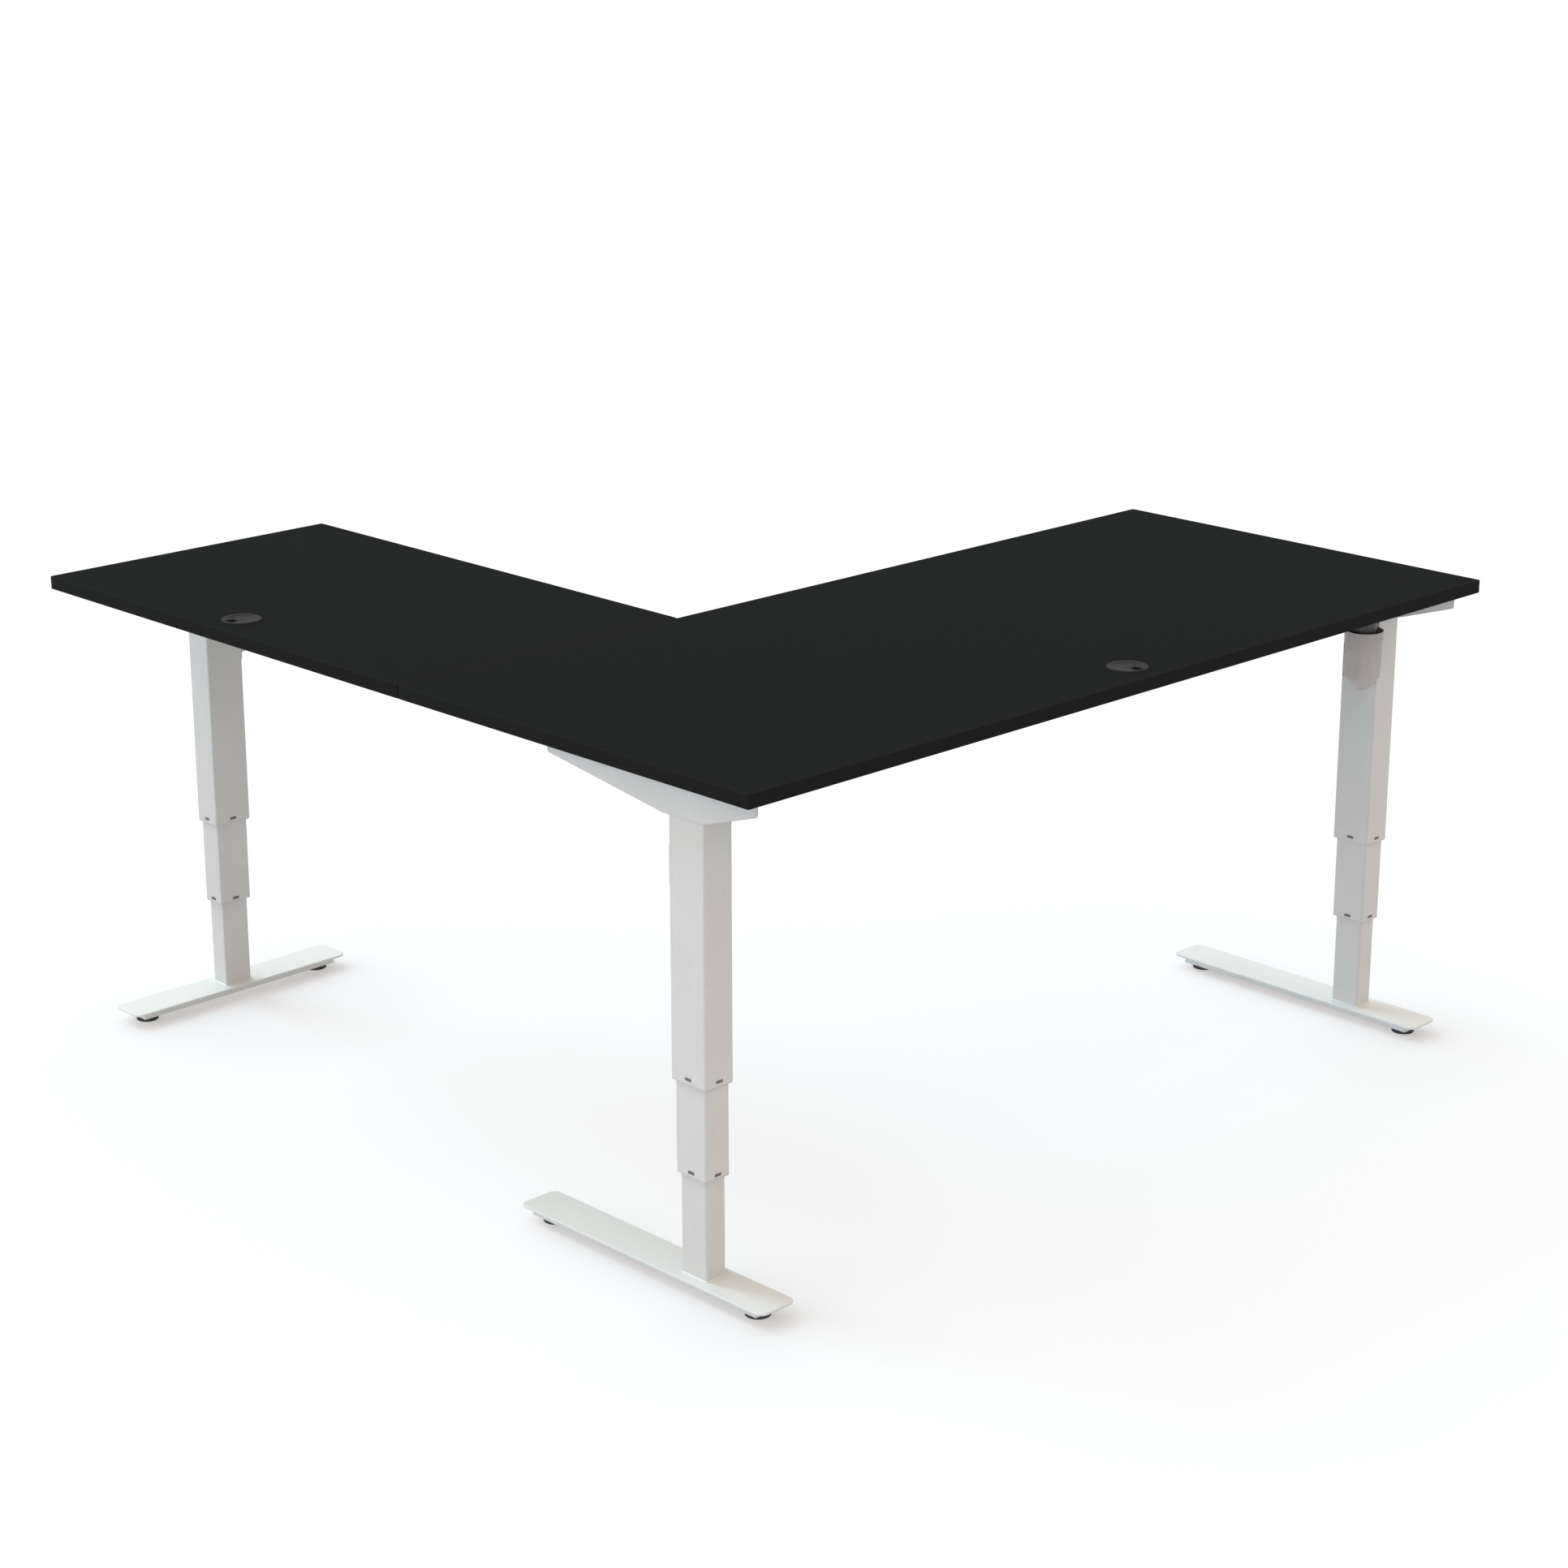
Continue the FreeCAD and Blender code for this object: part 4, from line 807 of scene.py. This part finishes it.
low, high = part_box("control_lid")
lid = brick(high - low, (low + high) / 2)
VENTS, VENT_PITCH, VENT_W, VENT_L = 12, 0.007, 0.003, 0.048
for k in range(VENTS):
    x = (low.x + high.x) / 2 + (k - (VENTS - 1) / 2) * VENT_PITCH
    vent = brick((VENT_W, VENT_L, 0.01), (x, (low.y + high.y) / 2, low.z))
    round_corners(vent, 0.00145, 4)
    bpy.ops.object.mode_set(mode="OBJECT")
    cut_away(lid, vent)
ease_edges(lid, 0.0003, sharp=50)
settle(lid, "control_vented_lid", "desk", BLACK, ["control_lid"])


# ---------------------------------------------------------------------------
# Control box fixings: four countersunk black screws in the lid's corners, and strips of
# tinned spring contact under the roof of each motor socket.
# ---------------------------------------------------------------------------
low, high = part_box("control_lid")
LID_SCREW_IN, LID_HEAD_H, LID_CROSS_TURN = 0.010, 0.0006, 31
lid_head = turned([(0.0012, low.z - LID_HEAD_H), (0.0024, low.z - 0.0002), (0.0026, low.z),
                   (0.0012, low.z + 0.0016)], steps=24)
cross_recess(lid_head, length=0.0032, width=0.0007, deep=0.0008, z=low.z - LID_HEAD_H)
lid_screws = [another(lid_head, (x, y, 0), turn=LID_CROSS_TURN)
              for x in (low.x + LID_SCREW_IN, high.x - LID_SCREW_IN)
              for y in (low.y + LID_SCREW_IN, high.y - LID_SCREW_IN)]
throw_away(lid_head)
settle(joined(lid_screws), "control_lid_screws", "desk", BLACK)

PORT_X, PORT_PITCH, PORTS = 0.061, 0.026, 4
PORT_ROOF, PORT_BACK = 0.817, -0.4085
CONTACTS, CONTACT_PITCH = 4, 0.003
CONTACT_W, CONTACT_L, CONTACT_T = 0.0012, 0.0068, 0.0004
strips = []
for k in range(PORTS):
    for j in range(CONTACTS):
        x = PORT_X + k * PORT_PITCH + (j - (CONTACTS - 1) / 2) * CONTACT_PITCH
        strip = brick((CONTACT_W, CONTACT_L, CONTACT_T),
                      (x, PORT_BACK - CONTACT_L / 2, PORT_ROOF - CONTACT_T / 2))
        into(strip)
        choose("FACE", lambda f: f.normal.y < -0.9)
        bpy.ops.transform.resize(value=(0.6, 1, 0.5), center_override=(x, 0, PORT_ROOF))
        bpy.ops.object.mode_set(mode="OBJECT")
        strips.append(strip)
settle(joined(strips), "control_contacts", "desk", ZINC)


# ---------------------------------------------------------------------------
# Handset: a small black case under the front edge, with a dark window for the height and
# two grey keys marked with a raised arrow.
# ---------------------------------------------------------------------------
KEY = finish("grey key rubber", light=(0.13, 0.13, 0.135), dark=(0.11, 0.11, 0.115),
             edge=(0.14, 0.14, 0.145), roughness=(0.55, 0.65), grain=1500, depth=0.00003,
             edge_width=0.0005)
WINDOW = finish("smoked window", light=(0.010, 0.010, 0.012), dark=(0.008, 0.008, 0.010),
                edge=(0.03, 0.03, 0.03), roughness=(0.05, 0.09), grain=300, depth=0.000005,
                coat=1.0, edge_width=0.0003)
ARROW = finish("white key mark", light=(0.7, 0.7, 0.7), dark=(0.62, 0.62, 0.62),
               edge=(0.75, 0.75, 0.75), roughness=(0.5, 0.6), grain=1500, depth=0.00001,
               edge_width=0.0003)
ARROW_R, ARROW_IN, ARROW_H = 0.0030, 0.0003, 0.0005
softened("handset_case", "handset_shell", 0.0005, BLACK)
softened("handset_display", "handset_window", 0.0002, WINDOW)
for key, body in (("up", "key_up"), ("down", "key_down")):
    softened("handset_" + key, "handset_key_" + key, 0.0003, KEY, body=body)
    low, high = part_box("handset_" + key)
    bpy.ops.object.select_all(action="DESELECT")
    bpy.ops.mesh.primitive_circle_add(vertices=3, radius=ARROW_R, fill_type="NGON",
                                      location=((low.x + high.x) / 2, high.y - ARROW_IN,
                                                (low.z + high.z) / 2),
                                      rotation=(math.radians(90), 0, 0))
    mark = bpy.context.active_object
    bpy.ops.object.transform_apply(location=True, rotation=True, scale=True)
    into(mark)
    if key == "down":
        bpy.ops.transform.resize(value=(1, 1, -1),
                                 center_override=(0, 0, (low.z + high.z) / 2))
    bpy.ops.mesh.extrude_region_move(TRANSFORM_OT_translate={"value": (0, ARROW_H, 0)})
    bpy.ops.mesh.select_all(action="SELECT")
    bpy.ops.mesh.normals_make_consistent(inside=False)
    bpy.ops.object.mode_set(mode="OBJECT")
    settle(mark, "handset_arrow_" + key, body, ARROW)


# ---------------------------------------------------------------------------
# Handset readout: the height in centimetres in lit seven-bar figures on the window, the
# right way up for someone who sits at the inner corner.
# ---------------------------------------------------------------------------
LIT = finish("lit readout", light=(0.75, 0.88, 0.95), dark=(0.70, 0.83, 0.90),
             edge=(0.80, 0.92, 1.0), roughness=(0.4, 0.5), grain=1500, depth=0.000005,
             edge_width=0.0002, glow=0.9)
READING, READING_LEFT = "85.5", 0.0085    # its first figure's middle, from the window's
FIGURE_W, FIGURE_H, FIGURE_PITCH, POINT_PITCH = 0.0036, 0.0076, 0.0062, 0.0030
STROKE, BAR_T, BAR_GAP = 0.0008, 0.0003, 0.0002
# where each bar lies: side in half widths, level in half heights
BARS = {"a": (0, 1), "b": (1, 0.5), "c": (1, -0.5), "d": (0, -1), "e": (-1, -0.5),
        "f": (-1, 0.5), "g": (0, 0)}
FIGURES = {"8": "abcdefg", "5": "acdfg"}
pane = middle("handset_display")
pane_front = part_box("handset_display")[1].y
bars = []
x = pane.x + READING_LEFT
for figure in READING:
    if figure == ".":
        dot = brick((STROKE, BAR_T, STROKE),
                    (x + 0.5 * POINT_PITCH, pane_front, pane.z - FIGURE_H / 2))
        into(dot)
        bpy.ops.mesh.bevel(offset=STROKE / 4, segments=2, affect="EDGES")
        bpy.ops.object.mode_set(mode="OBJECT")
        bars.append(dot)
        x -= POINT_PITCH
        continue
    for letter in FIGURES[figure]:
        side, level = BARS[letter]
        tall = side != 0
        length = (FIGURE_H / 2 if tall else FIGURE_W) - BAR_GAP
        size = (STROKE, BAR_T, length) if tall else (length, BAR_T, STROKE)
        bar = brick(size, (x - side * FIGURE_W / 2, pane_front, pane.z + level * FIGURE_H / 2))
        round_corners(bar, 0.45 * STROKE, 1, axis="y")
        bpy.ops.object.mode_set(mode="OBJECT")
        bars.append(bar)
    x -= FIGURE_PITCH
settle(joined(bars), "handset_readout", "desk", LIT)


# ---------------------------------------------------------------------------
# Studio: a white floor that glows to the eye, with painted warm shade where light from behind the
# desk is blocked, three soft suns and a warm surround. The camera faces the desk's outer corner.
# ---------------------------------------------------------------------------
def sun(name, towards, spread, strength, colour):
    """A soft light from far away; spread is its size in the sky, in degrees."""
    lamp = bpy.data.lights.new(name, "SUN")
    lamp.angle = math.radians(spread)
    lamp.energy = strength
    lamp.color = colour
    obj = bpy.data.objects.new(name, lamp)
    bpy.context.scene.collection.objects.link(obj)
    obj.rotation_euler = Vector(towards).to_track_quat("-Z", "Y").to_euler()


FLOOR_SIDE = 60
SHADE_FROM = (-0.06, 0.90, 0.34)          # the way a floor point looks for what blocks it
SHADE_REACH = 0.40
SHADED, OPEN = 0.46, 0.80                 # the floor's glow under a foot and in the open
THROWN = 0.45                             # the share of its glow that lights the desk

bpy.ops.object.select_all(action="DESELECT")
bpy.ops.mesh.primitive_plane_add(size=FLOOR_SIDE, location=(0, 0, 0))
floor = bpy.context.active_object
floor.name = "studio_floor"
white = bpy.data.materials.new("studio floor")
white.use_nodes = True
tree = white.node_tree
tree.nodes.clear()
lean = add(tree, "ShaderNodeCombineXYZ", dict(zip("XYZ", SHADE_FROM)))
look = add(tree, "ShaderNodeVectorMath", {0: lean.outputs[0]}, operation="NORMALIZE")
near = add(tree, "ShaderNodeAmbientOcclusion", {"Distance": SHADE_REACH,
                                                "Normal": look.outputs[0]}, samples=8)
contact = add(tree, "ShaderNodeMapRange", {"Value": near.outputs["AO"], "From Min": 0.30,
                                           "To Min": SHADED, "To Max": OPEN})
# painted shade: where the occlusion test finds something near, the glow dims and turns warmer
painted_shade_tint = blend(tree, near.outputs["AO"], (1.0, 0.90, 0.86, 1), (1.0, 1.0, 1.0, 1))
diffuse = add(tree, "ShaderNodeBsdfDiffuse", {"Color": (0.165, 0.19, 0.21, 1)})
bounce = add(tree, "ShaderNodeLightPath")
share = add(tree, "ShaderNodeMapRange", {"Value": bounce.outputs["Is Diffuse Ray"],
                                         "To Min": 1.0, "To Max": THROWN})
strength = add(tree, "ShaderNodeMath", {0: contact.outputs[0], 1: share.outputs[0]},
               operation="MULTIPLY")
glow = add(tree, "ShaderNodeEmission", {"Color": painted_shade_tint, "Strength": strength.outputs[0]})
bright = add(tree, "ShaderNodeAddShader", {0: diffuse.outputs[0], 1: glow.outputs[0]})
clear = add(tree, "ShaderNodeBsdfTransparent")
side = add(tree, "ShaderNodeNewGeometry")
# seen from below, the floor is clear
sides = add(tree, "ShaderNodeMixShader", {0: side.outputs["Backfacing"], 1: bright.outputs[0],
                                          2: clear.outputs[0]})
add(tree, "ShaderNodeOutputMaterial", {"Surface": sides.outputs[0]})
floor.data.materials.append(white)

world = bpy.data.worlds.new("studio")
bpy.context.scene.world = world
world.use_nodes = True
tree = world.node_tree
tree.nodes.clear()
fill = add(tree, "ShaderNodeBackground", {"Color": (1.0, 0.85, 0.735, 1), "Strength": 0.95})
seen = add(tree, "ShaderNodeBackground", {"Color": (1, 1, 1, 1), "Strength": 1.1})
ray = add(tree, "ShaderNodeLightPath")
direct = add(tree, "ShaderNodeMath", {0: ray.outputs["Is Camera Ray"],
                                      1: ray.outputs["Is Glossy Ray"]}, operation="ADD")
mix = add(tree, "ShaderNodeMixShader", {0: direct.outputs[0], 1: fill.outputs[0],
                                        2: seen.outputs[0]})
add(tree, "ShaderNodeOutputWorld", {"Surface": mix.outputs[0]})

sun("overhead", (0.1, -0.1, -1), 60, 0.50, (1.0, 0.98, 0.92))
sun("rear_left", (0.12, -0.75, -0.7), 25, 1.85, (0.54, 0.85, 1.0))
sun("low_left", (1.0, 0.05, -0.03), 14, 0.95, (0.50, 0.70, 0.92))

CAMERA_AT = (-3.98095, -4.12206, 2.27380)
ACROSS = (0.714898, -0.699229, 0.0)
UPWARD = (0.209849, 0.214580, 0.953897)
BACKWARD = (-0.666996, -0.681935, 0.300136)
view = bpy.data.cameras.new("camera")
view.lens = 76.03
view.sensor_width = 36.0
view.clip_end = 200
camera = bpy.data.objects.new("camera", view)
bpy.context.scene.collection.objects.link(camera)
camera.location = CAMERA_AT
camera.rotation_mode = "QUATERNION"
camera.rotation_quaternion = Matrix((ACROSS, UPWARD, BACKWARD)).transposed().to_quaternion()
bpy.context.scene.camera = camera
bpy.context.scene.view_settings.view_transform = "Standard"
